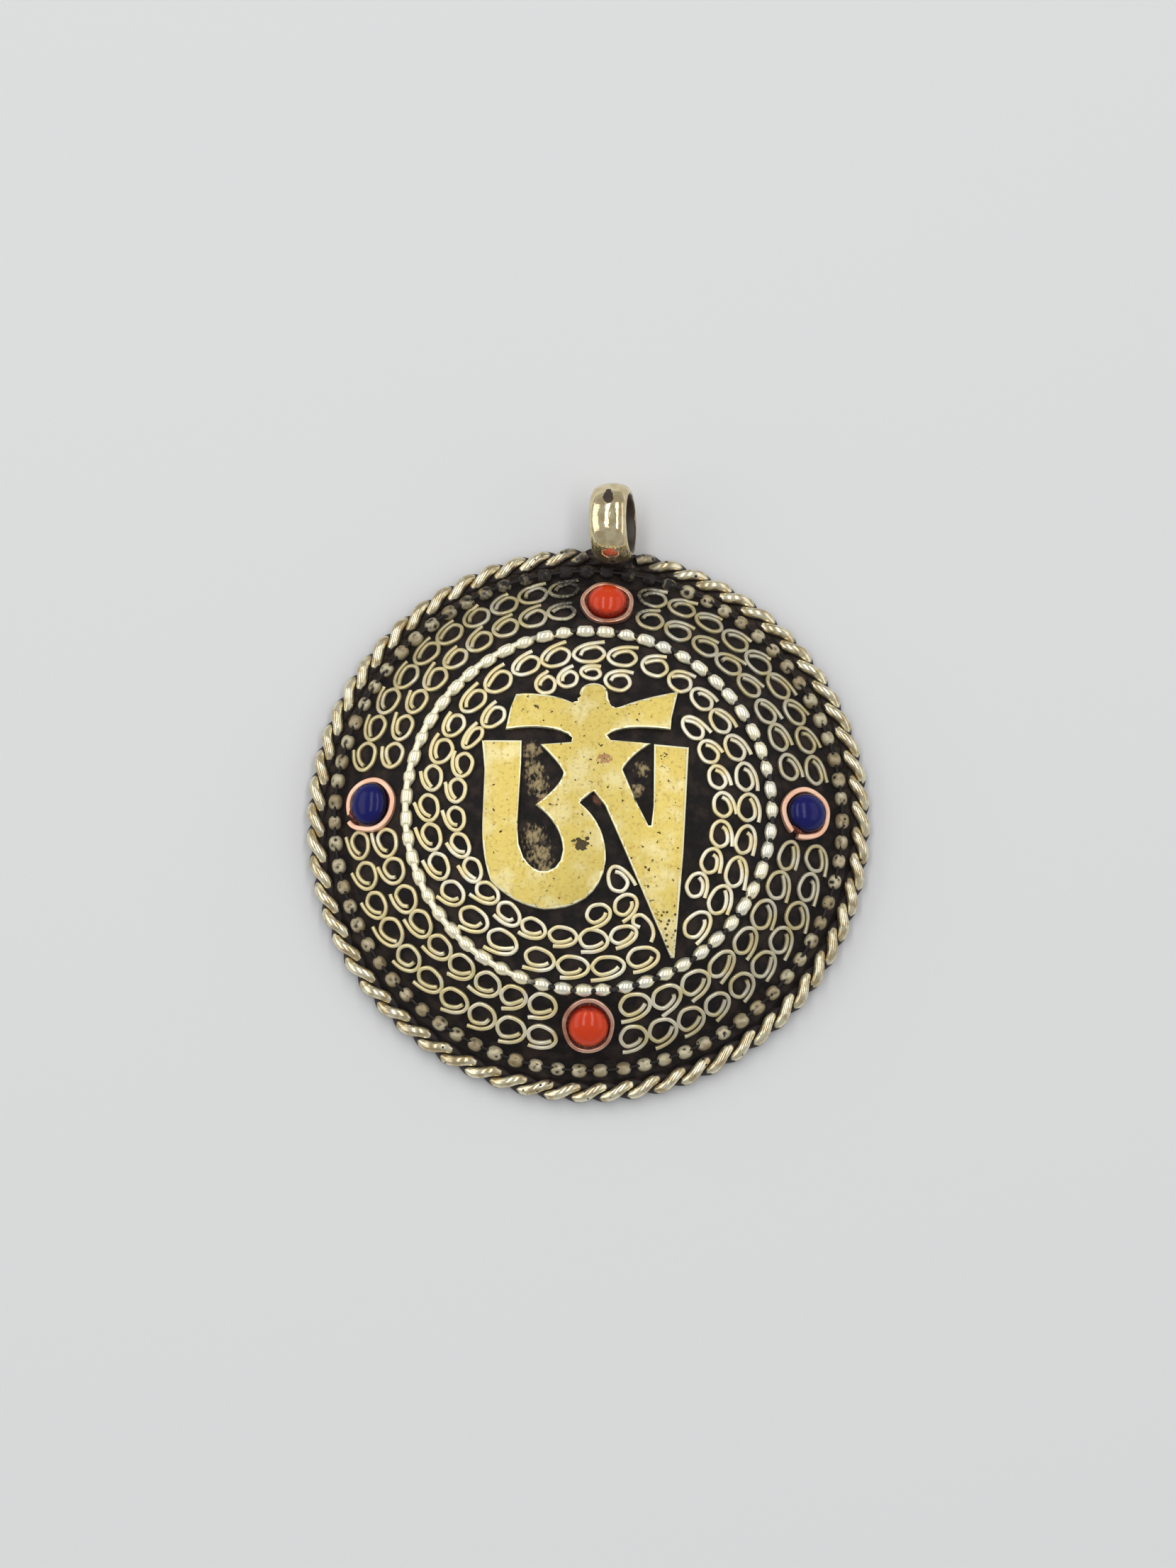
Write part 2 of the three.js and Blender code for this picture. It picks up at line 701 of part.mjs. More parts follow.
function bailGroup() {
  const profile = [[bailInnerRadius, -bailWidth / 2], ...bandOutside(0), [bailInnerRadius, bailWidth / 2]];
  profile.push(profile[0]);
  const group = new THREE.Group();
  group.add(part("bail", bailPose(revolved(profile, bailSides)), paleBrass));
  group.add(bailSolder());
  group.rotation.z = -bailAngle * degree;
  return group;
}

const pendant = new THREE.Group();
pendant.add(backPlate(), domePlate());
pendant.add(ropeStrand("rope_strand_1", 0), ropeStrand("rope_strand_2", Math.PI));
pendant.add(beadRing("outer_bead_border", beadRadius, outerBead, rubbedSilver));
pendant.add(beadRing("inner_bead_ring", crownRadius, innerBead, rubbedSilver));
pendant.add(...bandCurls(), ...fieldCurls());
for (const [name, setting] of Object.entries(settings)) pendant.add(...stoneSetting(name, setting));
pendant.add(omPlate(), bailGroup());

export default pendant;
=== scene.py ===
"""Looks of a domed om pendant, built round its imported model.

Lengths in the classes are millimetres. The pendant lies on its flat back: +Z rises through the
dome, +Y points to the bail, and the origin is the middle of the back face. Angles round the
pendant are degrees, clockwise from +Y as seen from the front.
"""

import logging
import math
import random
from dataclasses import dataclass
from enum import Enum
from typing import Callable, Mapping, Sequence

import bmesh
import bpy
from mathutils import Matrix, Vector, noise


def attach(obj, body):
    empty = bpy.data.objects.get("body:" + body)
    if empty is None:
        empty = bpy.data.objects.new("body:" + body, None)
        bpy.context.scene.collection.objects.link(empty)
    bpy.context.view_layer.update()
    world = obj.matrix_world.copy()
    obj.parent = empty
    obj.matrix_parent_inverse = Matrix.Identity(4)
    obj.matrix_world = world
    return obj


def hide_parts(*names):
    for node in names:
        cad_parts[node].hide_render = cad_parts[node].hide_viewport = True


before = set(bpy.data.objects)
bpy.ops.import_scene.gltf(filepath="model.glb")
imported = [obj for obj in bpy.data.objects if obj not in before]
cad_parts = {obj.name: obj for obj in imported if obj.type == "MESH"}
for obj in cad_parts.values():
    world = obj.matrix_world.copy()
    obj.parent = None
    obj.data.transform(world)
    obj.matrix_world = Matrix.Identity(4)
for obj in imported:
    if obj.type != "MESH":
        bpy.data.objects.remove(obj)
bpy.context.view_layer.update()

METRES = 0.001
BODY = "root"
# Per-vertex number for wear, which some pieces also use to paint light or shade
WEAR_AND_LIGHT = "wear_and_light"
LOG = logging.getLogger("om_pendant")

Colour = tuple[float, float, float, float]
Place = tuple[float, ...]


class Slot(Enum):
    """Material slot names."""

    SHEET = "blackened_sheet"
    SILVER = "rubbed_white_metal"
    BRASS = "worn_brass"
    PALE_BRASS = "pale_brass"
    COPPER = "copper"
    CORAL = "coral"
    LAPIS = "lapis"
    CEMENT = "red_cement"


# Small sums


def tone(red: int, green: int, blue: int) -> Colour:
    """Turns a screen colour of 0 to 255 into the linear colour that a shader takes.

    Args:
        red: Red share, 0 to 255.
        green: Green share, 0 to 255.
        blue: Blue share, 0 to 255.

    Returns:
        The linear colour with full opacity.
    """
    linear = []
    for value in (red, green, blue):
        share = value / 255
        linear.append(((share + 0.055) / 1.055) ** 2.4 if share > 0.04045 else share / 12.92)
    return (linear[0], linear[1], linear[2], 1.0)


def ease(value: float, low: float, high: float) -> float:
    """Rises smoothly from 0 at low to 1 at high.

    Args:
        value: The number to place.
        low: Where the rise starts.
        high: Where the rise ends.

    Returns:
        A share from 0 to 1.
    """
    share = min(max((value - low) / (high - low), 0.0), 1.0)
    return share * share * (3 - 2 * share)


def around(angle: float, radius: float, height: float) -> Vector:
    """Returns the point at a clockwise angle in radians, a radius and a height."""
    return Vector((radius * math.sin(angle), radius * math.cos(angle), height))


def drifted(angle: float, radius: float, drift: float) -> tuple[float, float]:
    """Moves a place towards the bail, as whole rings of the handmade pendant sit off its middle.

    Args:
        angle: Its clockwise angle in degrees.
        radius: Its distance from the middle.
        drift: How far it moves.

    Returns:
        Its new angle and radius.
    """
    place = around(math.radians(angle), radius, 0.0)
    place.y += drift
    return math.degrees(math.atan2(place.x, place.y)), math.hypot(place.x, place.y)


def near_bail_darkening(point: Vector, left: float, right: float) -> float:
    """Returns how much painted shade, with some tarnish, darkens a place near the bail, 1 next to it and 0
    far from it.

    Args:
        point: The place.
        left: How many degrees the darkening reaches to the left.
        right: How many degrees it reaches to the right.

    Returns:
        A share from 0 to 1.
    """
    away = math.degrees(math.atan2(point.x, point.y)) - 3
    return 1 - ease(abs(away), 5, left if away < 0 else right)


def lumps(point: Vector, size: float, seed: float = 0.0) -> float:
    """Returns a smooth noise from about -1 to 1, with lumps of a size in millimetres."""
    return noise.noise(point / size + Vector((seed, 2 * seed, -seed)))


def rotation(degrees: float, axis: str) -> Matrix:
    """Returns a turn about an axis."""
    return Matrix.Rotation(math.radians(degrees), 4, axis)


def frame_at(place: Vector, side: Vector, rise: Vector, ahead: Vector) -> Matrix:
    """Returns the frame at a place whose X, Y and Z run along three directions."""
    return Matrix.Translation(place) @ Matrix((side, rise, ahead)).transposed().to_4x4()


def linked(name: str, data: bpy.types.ID) -> bpy.types.Object:
    """Makes an object and links it into the scene.

    Args:
        name: The object's name.
        data: Its mesh, camera or lamp.

    Returns:
        The object.
    """
    item = bpy.data.objects.new(name, data)
    bpy.context.scene.collection.objects.link(item)
    return item


# Shader writing


@dataclass(frozen=True)
class Signal:
    """A number, colour or vector of a material. Python's operators on it add Math nodes."""

    recipe: "Recipe"
    socket: bpy.types.NodeSocket

    def _math(self, operation: str, first: object, second: object) -> "Signal":
        """Adds one Math node and returns what it gives."""
        return self.recipe.signal("ShaderNodeMath", {"operation": operation}, {0: first, 1: second})

    def __add__(self, other: object) -> "Signal":
        """Returns the sum."""
        return self._math("ADD", self, other)

    def __radd__(self, other: object) -> "Signal":
        """Returns the sum, with the number first."""
        return self._math("ADD", other, self)

    def __sub__(self, other: object) -> "Signal":
        """Returns the difference."""
        return self._math("SUBTRACT", self, other)

    def __rsub__(self, other: object) -> "Signal":
        """Returns a number less this signal."""
        return self._math("SUBTRACT", other, self)

    def __mul__(self, other: object) -> "Signal":
        """Returns the product."""
        return self._math("MULTIPLY", self, other)

    def __rmul__(self, other: object) -> "Signal":
        """Returns the product, with the number first."""
        return self._math("MULTIPLY", other, self)

    def most(self, other: object) -> "Signal":
        """Returns the larger of the two."""
        return self._math("MAXIMUM", self, other)

    def step(self, low: float, high: float) -> "Signal":
        """Rises smoothly from 0 at low to 1 at high, or falls where low is the larger.

        Args:
            low: Where the share is 0.
            high: Where the share is 1.

        Returns:
            A share from 0 to 1.
        """
        inputs = {0: self, 1: min(low, high), 2: max(low, high)}
        rise = self.recipe.signal("ShaderNodeMapRange", {"interpolation_type": "SMOOTHSTEP"}, inputs)
        return rise if low < high else 1 - rise


class Recipe:
    """The nodes of one material, added one by one."""

    def __init__(self, name: str) -> None:
        """Starts an empty material.

        Args:
            name: The material's name.
        """
        self.material = bpy.data.materials.new(name)
        self.material.use_nodes = True
        self.tree = self.material.node_tree
        self.tree.nodes.clear()
        self.place = self.signal("ShaderNodeTexCoord", {}, {}, "Object")

    def node(
        self, kind: str, settings: Mapping[str, object], inputs: Mapping[object, object]
    ) -> bpy.types.Node:
        """Adds a node.

        Args:
            kind: The node's type.
            settings: Its own settings, which are set first.
            inputs: Values or signals by socket name or number.

        Returns:
            The node.
        """
        made = self.tree.nodes.new(kind)
        for key, value in settings.items():
            setattr(made, key, value)
        for key, value in inputs.items():
            if isinstance(value, Signal):
                self.tree.links.new(value.socket, made.inputs[key])
            else:
                made.inputs[key].default_value = value
        return made

    def signal(
        self,
        kind: str,
        settings: Mapping[str, object],
        inputs: Mapping[object, object],
        output: object = 0,
    ) -> Signal:
        """Adds a node and takes one of its outputs.

        Args:
            kind: The node's type.
            settings: Its own settings.
            inputs: Values or signals by socket name or number.
            output: Name or number of the output.

        Returns:
            What the output gives.
        """
        return Signal(self, self.node(kind, settings, inputs).outputs[output])

    def kept(self, name: str) -> Signal:
        """Returns the number that a mesh keeps at each vertex under this name."""
        return self.signal("ShaderNodeAttribute", {"attribute_name": name}, {}, "Fac")

    def stretched(self, scale: Place, turned: float) -> Signal:
        """Returns the place, turned about Z by degrees and then stretched."""
        inputs = {"Vector": self.place, "Rotation": (0.0, 0.0, math.radians(turned)), "Scale": scale}
        return self.signal("ShaderNodeMapping", {}, inputs)

    def cloud(self, size: float, detail: float = 3.0, place: "Signal | None" = None) -> Signal:
        """Returns noise of about 0.3 to 0.7, with lumps of a size in millimetres."""
        inputs = {"Vector": place or self.place, "Scale": 1 / (size * METRES), "Detail": detail}
        return self.signal("ShaderNodeTexNoise", {}, inputs)

    def cells(self, size: float) -> Signal:
        """Returns the distance to the nearest of many scattered points, size millimetres apart."""
        inputs = {"Vector": self.place, "Scale": 1 / (size * METRES)}
        return self.signal("ShaderNodeTexVoronoi", {}, inputs, "Distance")

    def spot(self, centre: Place, reach: float) -> Signal:
        """Marks a round place, as seen from above.

        Args:
            centre: Its x and y in millimetres.
            reach: How far it spreads, in millimetres.

        Returns:
            1 at the centre, falling to 0 at its reach.
        """
        flat = self.signal("ShaderNodeVectorMath", {"operation": "MULTIPLY"}, {0: self.place, 1: (1, 1, 0)})
        middle = (centre[0] * METRES, centre[1] * METRES, 0.0)
        settings = {"operation": "DISTANCE"}
        away = self.signal("ShaderNodeVectorMath", settings, {0: flat, 1: middle}, "Value")
        return away.step(reach * METRES, 0.0)

    def spots(self, places: Sequence[Place]) -> Signal:
        """Marks several round places.

        Args:
            places: X, y and reach of each, in millimetres.

        Returns:
            The highest of the spots.
        """
        highest = self.spot(places[0], places[0][2])
        for place in places[1:]:
            highest = highest.most(self.spot(place, place[2]))
        return highest

    def blend(self, share: object, first: object, second: object) -> Signal:
        """Returns a colour between two, by a share from 0 to 1."""
        return self.signal("ShaderNodeMix", {"data_type": "RGBA"}, {0: share, 6: first, 7: second}, 2)

    def relief(self, height: Signal, depth: float, below: "Signal | None" = None) -> Signal:
        """Returns normals bent by a height.

        Args:
            height: A number from 0 to 1 over the surface.
            depth: What 1 stands for, in millimetres.
            below: Normals of a coarser relief, to which this one is added.

        Returns:
            The bent normals.
        """
        inputs: dict[object, object] = {"Height": height, "Distance": depth * METRES}
        if below is not None:
            inputs["Normal"] = below
        return self.signal("ShaderNodeBump", {}, inputs)

    def finish(self, inputs: Mapping[object, object]) -> bpy.types.Material:
        """Ends the material with its shader.

        Args:
            inputs: Values or signals of the Principled shader.

        Returns:
            The finished material.
        """
        shader = self.signal("ShaderNodeBsdfPrincipled", {}, inputs)
        self.node("ShaderNodeOutputMaterial", {}, {"Surface": shader})
        return self.material


# Finishes


@dataclass(frozen=True)
class BlackenedSheet:
    """Sheet blackened with age, with a few places rubbed to bare metal."""

    name: str = "blackened_sheet"
    dark: Colour = tone(17, 11, 10)
    light: Colour = tone(44, 34, 29)
    dust_and_sheen: Colour = tone(100, 86, 73)
    bare: Colour = tone(168, 150, 112)
    reddish: Colour = tone(118, 78, 58)
    bare_spots: Sequence[Place] = ()
    reddish_spots: Sequence[Place] = ()

    def material(self) -> bpy.types.Material:
        """Writes the sheet's nodes.

        Returns:
            The material.
        """
        recipe = Recipe(self.name)
        base = recipe.blend(recipe.cloud(1.6).step(0.42, 0.68), self.dark, self.light)
        grain = recipe.cloud(0.32, 4.0)
        height = recipe.signal("ShaderNodeSeparateXYZ", {}, {0: recipe.place}, 1)
        rim = 1 - recipe.spot((0.0, 0.0), 54.0).step(0.42, 0.52)
        # Dust, with a painted sheen, lighter in grains on the flange
        dust = rim * height.step(-10 * METRES, 12 * METRES) * (grain + recipe.cloud(1.2) - 0.5).step(0.3, 0.7)
        base = recipe.blend(dust, base, self.dust_and_sheen)
        bare = recipe.spots(self.bare_spots)
        streaks = recipe.cloud(0.3, 6.0, recipe.stretched((1.0, 0.6, 1.0), 20.0))
        mottle = (bare * 1.2 + (streaks - 0.5) * 3.6).step(0.3, 1.5) * bare.step(0.02, 0.3)
        base = recipe.blend(mottle, base, self.bare)
        redden = (recipe.spots(self.reddish_spots) + recipe.cloud(0.4) - 0.5).step(0.35, 0.8)
        base = recipe.blend(redden * 0.85, base, self.reddish)
        coarse = recipe.relief(recipe.cloud(2.2), 0.18)
        return recipe.finish(
            {
                "Base Color": base,
                "Metallic": mottle * 0.5,
                "Roughness": 0.55 + recipe.cloud(0.5) * 0.3,
                "Specular IOR Level": 0.25,
                "Normal": recipe.relief(grain, 0.05, coarse),
            }
        )


@dataclass(frozen=True)
class RubbedMetal:
    """Metal rubbed bright where it stands proud, with dark tarnish kept in its hollows."""

    name: str
    bright: Colour = tone(232, 224, 192)
    warm: Colour = tone(222, 203, 142)
    tarnish: Colour = tone(30, 24, 23)
    metallic: float = 0.8
    left_light: float = 0.0
    outer_row_shade: float = 0.0
    pitted: float = 0.0
    dark_spots: Sequence[Place] = ()
    gloss: float = 0.24
    patch: float = 2.4
    tarnish_low: float = 0.22
    tarnish_high: float = 0.62
    grime: float = 0.25
    speckle: float = 0.5
    dents: float = 0.03

    def material(self) -> bpy.types.Material:
        """Writes the metal's nodes.

        Returns:
            The material.
        """
        recipe = Recipe(self.name)
        grain = (recipe.cloud(0.28, 4.0) - 0.5) * self.speckle
        patches = recipe.cloud(self.patch)
        worn = recipe.kept(WEAR_AND_LIGHT) + grain + (patches - 0.5) * self.grime
        if self.pitted:
            pits = recipe.cells(0.8).step(0.3, 0.12) * recipe.cloud(0.9).step(0.42, 0.58)
            worn = worn - pits * self.pitted
        if self.dark_spots:
            worn = worn - recipe.spots(self.dark_spots) * 1.7
        clean = worn.step(self.tarnish_low, self.tarnish_high)
        side = recipe.signal("ShaderNodeSeparateXYZ", {}, {0: recipe.place}, 0)
        # Painted light from the left: the tone shifts towards warm on the left side, which on the inner
        # barrels is a brighter glare
        tone_and_left_light = patches + side.step(0.0, -24 * METRES) * self.left_light
        metal = recipe.blend(tone_and_left_light.step(0.4, 0.62), self.bright, self.warm)
        # Painted shade on the outer rows, more towards the right and the top
        if self.outer_row_shade:
            rim = 1 - recipe.spot((-5.0, -3.0), 48.0).step(0.42, 0.66)
            metal = recipe.blend(rim * self.outer_row_shade, metal, self.tarnish)
        coarse = recipe.relief(recipe.cloud(0.9, 2.0), self.dents)
        return recipe.finish(
            {
                "Base Color": recipe.blend(clean, self.tarnish, metal),
                "Metallic": 0.2 + clean * (self.metallic - 0.2),
                "Roughness": self.gloss + (1 - clean) * 0.3 + grain * 0.4,
                "Normal": recipe.relief(grain * 2 + clean * 0.6, 0.005, coarse),
            }
        )


@dataclass(frozen=True)
class WornBrass:
    """Yellow brass of the om plate, with casting pits, a torn hole and paler rubbed places."""

    name: str = "worn_brass"
    yellow: Colour = tone(212, 190, 104)
    pale: Colour = tone(224, 209, 148)
    brown: Colour = tone(166, 138, 64)
    edge_highlight: Colour = tone(255, 250, 212)
    pit: Colour = tone(50, 34, 18)
    reddish: Colour = tone(150, 96, 84)
    hole: Place = (-0.6, -4.2)
    scuff: Place = (1.4, 4.7)
    pitted_tip: Place = (9.4, -13.2)

    def material(self) -> bpy.types.Material:
        """Writes the brass's nodes.

        Returns:
            The material.
        """
        recipe = Recipe(self.name)
        fine = recipe.cloud(0.3, 4.0)
        patches = recipe.cloud(3.2, 4.0)
        metal = recipe.blend(patches.step(0.46, 0.66), self.yellow, self.pale)
        rim = recipe.kept(WEAR_AND_LIGHT)
        drawn = recipe.cloud(0.5, 2.0, recipe.stretched((1.0, 0.12, 1.0), 4.0))
        metal = recipe.blend(drawn.step(0.5, 0.8) * 0.25, metal, self.brown)
        metal = recipe.blend(recipe.cloud(0.35, 5.0).step(0.5, 0.68) * 0.4, metal, self.brown)
        # Painted highlight: a pale line along the edges, where the mesh's number is low
        metal = recipe.blend(rim.step(0.1, 0.5), self.edge_highlight, metal)
        pits = recipe.cells(1.15).step(0.12, 0.05) * recipe.cloud(2.1).step(0.55, 0.64)
        tip = recipe.spot(self.pitted_tip, 5.0)
        pits = pits.most(recipe.cells(0.5).step(0.34, 0.2) * (tip + fine - 0.5).step(0.25, 0.5))
        torn = (recipe.spot(self.hole, 1.4) + (recipe.cloud(0.5, 2.0) - 0.5) * 2.2).step(0.42, 0.52)
        scuffed = (recipe.spot(self.scuff, 1.3) + (recipe.cloud(0.35, 3.0) - 0.5) * 2.6).step(0.45, 0.65)
        metal = recipe.blend(scuffed * 0.7, metal, self.reddish)
        hollow = pits.most(torn)
        coarse = recipe.relief(recipe.cloud(1.7, 2.0), 0.05)
        return recipe.finish(
            {
                "Base Color": recipe.blend(hollow * 0.92, metal, self.pit),
                "Metallic": 0.75 - hollow * 0.5,
                "Roughness": 0.34 + fine * 0.18 + hollow * 0.3,
                "Normal": recipe.relief(1 - hollow + fine * 0.06, 0.12, coarse),
            }
        )


@dataclass(frozen=True)
class PolishedStone:
    """Opaque polished stone, a little uneven in colour, with shade painted darker towards its girdle."""

    name: str
    body: Colour
    rim_shade: Colour
    vein: Colour
    patch: float = 1.3
    vein_share: float = 0.25
    gloss: float = 0.1
    shine: float = 1.0

    def material(self) -> bpy.types.Material:
        """Writes the stone's nodes.

        Returns:
            The material.
        """
        recipe = Recipe(self.name)
        # Painted shade: darker towards the girdle, where the mesh's number is low
        depth = recipe.kept(WEAR_AND_LIGHT) + (recipe.cloud(self.patch) - 0.5) * 0.7
        base = recipe.blend(depth.step(0.25, 0.85), self.rim_shade, self.body)
        base = recipe.blend(recipe.cloud(0.5, 5.0).step(0.56, 0.72) * self.vein_share, base, self.vein)
        return recipe.finish(
            {
                "Base Color": base,
                "Roughness": self.gloss + recipe.cloud(0.6) * 0.1,
                "Specular IOR Level": self.shine,
                "Normal": recipe.relief(recipe.cloud(0.8, 2.0), 0.012),
            }
        )


@dataclass(frozen=True)
class Cement:
    """Crumbly setting cement, red brown."""

    name: str = "red_cement"
    body: Colour = tone(92, 40, 28)
    dust: Colour = tone(150, 84, 62)

    def material(self) -> bpy.types.Material:
        """Writes the cement's nodes.

        Returns:
            The material.
        """
        recipe = Recipe(self.name)
        grain = recipe.cloud(0.25, 5.0)
        return recipe.finish(
            {
                "Base Color": recipe.blend(grain.step(0.45, 0.66), self.body, self.dust),
                "Roughness": 0.85,
                "Normal": recipe.relief(grain, 0.08),
            }
        )


# Mesh making


def extruded(
    shape: bmesh.types.BMesh, edges: Sequence[bmesh.types.BMEdge]
) -> tuple[list[bmesh.types.BMVert], list[bmesh.types.BMEdge]]:
    """Draws a row of edges out into new faces, which still have to be moved.

    Args:
        shape: The mesh.
        edges: The edges.

    Returns:
        The new vertices, and the new edges between them.
    """
    made = bmesh.ops.extrude_edge_only(shape, edges=edges)["geom"]
    verts = [item for item in made if isinstance(item, bmesh.types.BMVert)]
    fresh = set(verts)
    lines = [item for item in made if isinstance(item, bmesh.types.BMEdge)]
    return verts, [line for line in lines if set(line.verts) <= fresh]


class Workpiece:
    """A mesh in the making, in millimetres, with how worn each vertex is, a number that some pieces also use
    to paint light or shade.
    """

    def __init__(self) -> None:
        """Starts an empty mesh."""
        self.shape = bmesh.new()
        self.wear_and_light = self.shape.verts.layers.float.new(WEAR_AND_LIGHT)

    def sweep(self, stands: Sequence[Matrix], section: Sequence[Place], closed: bool = False) -> None:
        """Draws a section along a row of frames, whose Z runs along the path.

        Args:
            stands: The frames.
            section: Across, up and wear of each point round the section.
            closed: Whether the last frame meets the first.
        """
        ring = bmesh.ops.create_circle(self.shape, segments=len(section), radius=1.0)["verts"]
        for vertex, (across, up, worn) in zip(ring, section):
            vertex.co = stands[0] @ Vector((across, up, 0.0))
            vertex[self.wear_and_light] = worn
        edges = list(dict.fromkeys(edge for vertex in ring for edge in vertex.link_edges))
        first = edges
        for before, after in zip(stands, stands[1:]):
            verts, edges = extruded(self.shape, edges)
            bmesh.ops.transform(self.shape, matrix=after @ before.inverted(), verts=verts)
        if closed:
            bmesh.ops.bridge_loops(self.shape, edges=first + edges)
        else:
            bmesh.ops.edgeloop_fill(self.shape, edges=first)
            bmesh.ops.edgeloop_fill(self.shape, edges=edges)

    def spin(self, profile: Sequence[Place], steps: int, closed: bool = False) -> None:
        """Turns a profile once about Z.

        Args:
            profile: Radius and height of each point.
            steps: Number of steps round.
            closed: Whether the profile's last point joins its first.
        """
        verts = [self.shape.verts.new((radius, 0.0, height)) for radius, height in profile]
        pairs = list(zip(verts, verts[1:])) + ([(verts[-1], verts[0])] if closed else [])
        edges = [self.shape.edges.new(pair) for pair in pairs]
        bmesh.ops.spin(
            self.shape,
            geom=verts + edges,
            cent=(0, 0, 0),
            axis=(0, 0, 1),
            angle=2 * math.pi,
            steps=steps,
            use_merge=True,
        )
        bmesh.ops.remove_doubles(self.shape, verts=self.shape.verts, dist=1e-4)
        bmesh.ops.dissolve_degenerate(self.shape, dist=1e-5, edges=self.shape.edges)

    def bend(self, change: Callable[[Vector], Vector]) -> None:
        """Moves every vertex by a rule on its place."""
        for vertex in self.shape.verts:
            vertex.co = change(vertex.co)

    def mark_wear_and_light(self, rule: Callable[[Vector], float]) -> None:
        """Sets how worn every vertex is, by a rule on its place. Some pieces also paint light or shade with
        this number.
        """
        for vertex in self.shape.verts:
            vertex[self.wear_and_light] = rule(vertex.co)

    def place(self, stand: Matrix) -> None:
        """Moves the whole mesh by a matrix."""
        bmesh.ops.transform(self.shape, matrix=stand, verts=self.shape.verts)

    def add(self, other: "Workpiece") -> None:
        """Takes another workpiece in, and ends that one.

        Args:
            other: The workpiece that is taken in.
        """
        carrier = bpy.data.meshes.new("carrier")
        other.shape.to_mesh(carrier)
        other.shape.free()
        self.shape.from_mesh(carrier)
        bpy.data.meshes.remove(carrier)
        self.wear_and_light = self.shape.verts.layers.float[WEAR_AND_LIGHT]

    def publish(
        self,
        name: str,
        nodes: Sequence[str],
        material: bpy.types.Material,
        sharp: float = 50.0,
    ) -> None:
        """Makes the object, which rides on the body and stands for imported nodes.

        Args:
            name: The object's name.
            nodes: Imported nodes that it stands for.
            material: Its material.
            sharp: Edges bent more than this many degrees stay sharp.
        """
        bmesh.ops.recalc_face_normals(self.shape, faces=self.shape.faces)
        bmesh.ops.scale(self.shape, vec=(METRES, METRES, METRES), verts=self.shape.verts)
        mesh = bpy.data.meshes.new(name)
        self.shape.to_mesh(mesh)
        self.shape.free()
        mesh.materials.append(material)
        mesh.shade_smooth()
        mesh.set_sharp_from_angle(angle=math.radians(sharp))
        piece = linked(name, mesh)
        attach(piece, BODY)
        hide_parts(*nodes)
        LOG.info("%s: %d faces, stands for %s", name, len(mesh.polygons), ", ".join(nodes))


def rounded(width: float, height: float, sides: int, squareness: float) -> list[Place]:
    """Returns a rounded oblong section whose top is worn and whose foot is not.

    Args:
        width: Its whole width.
        height: Its whole height.
        sides: Number of points.
        squareness: 1 for an oval, less for a squarer section.

    Returns:
        Across, up and wear of each point.
    """
    section = []
    for side in range(sides):
        angle = 2 * math.pi * (side + 0.5) / sides
        across = math.copysign(abs(math.cos(angle)) ** squareness, math.cos(angle))
        up = math.copysign(abs(math.sin(angle)) ** squareness, math.sin(angle))
        section.append((across * width / 2, up * height / 2, ease(up, -0.9, 0.1)))
    return section


def round_section(radius: float, sides: int) -> list[Place]:
    """Draws the round section of a wire, not worn yet.

    Args:
        radius: Its radius.
        sides: Number of points.

    Returns:
        Across, up and wear of each point.
    """
    angles = [2 * math.pi * side / sides for side in range(sides)]
    return [(radius * math.cos(angle), radius * math.sin(angle), 0.0) for angle in angles]


def smooth_path(points: Sequence[Vector], steps: int) -> list[Vector]:
    """Draws a smooth line through points.

    Args:
        points: The points, in order.
        steps: Steps between two neighbours.

    Returns:
        The points of the smooth line.
    """
    ends = [2 * points[0] - points[1], *points, 2 * points[-1] - points[-2]]
    path = []
    for before, start, end, after in zip(ends, ends[1:], ends[2:], ends[3:]):
        for step in range(steps):
            share = step / steps
            bend = (2 * before - 5 * start + 4 * end - after) * share
            twist = (3 * start - before - 3 * end + after) * share * share
            path.append(start + (end - before + bend + twist) * share / 2)
    path.append(points[-1])
    return path


def stands_along(path: Sequence[Vector], ups: Sequence[Vector]) -> list[Matrix]:
    """Builds a frame at each point of a path.

    Args:
        path: The points.
        ups: Which way is up at each point.

    Returns:
        Frames whose Z runs along the path and whose Y leans up.
    """
    stands = []
    last = len(path) - 1
    for i, (point, up) in enumerate(zip(path, ups)):
        ahead = (path[min(i + 1, last)] - path[max(i - 1, 0)]).normalized()
        side = up.cross(ahead).normalized()
        stands.append(frame_at(point, side, ahead.cross(side), ahead))
    return stands


# Hollow body


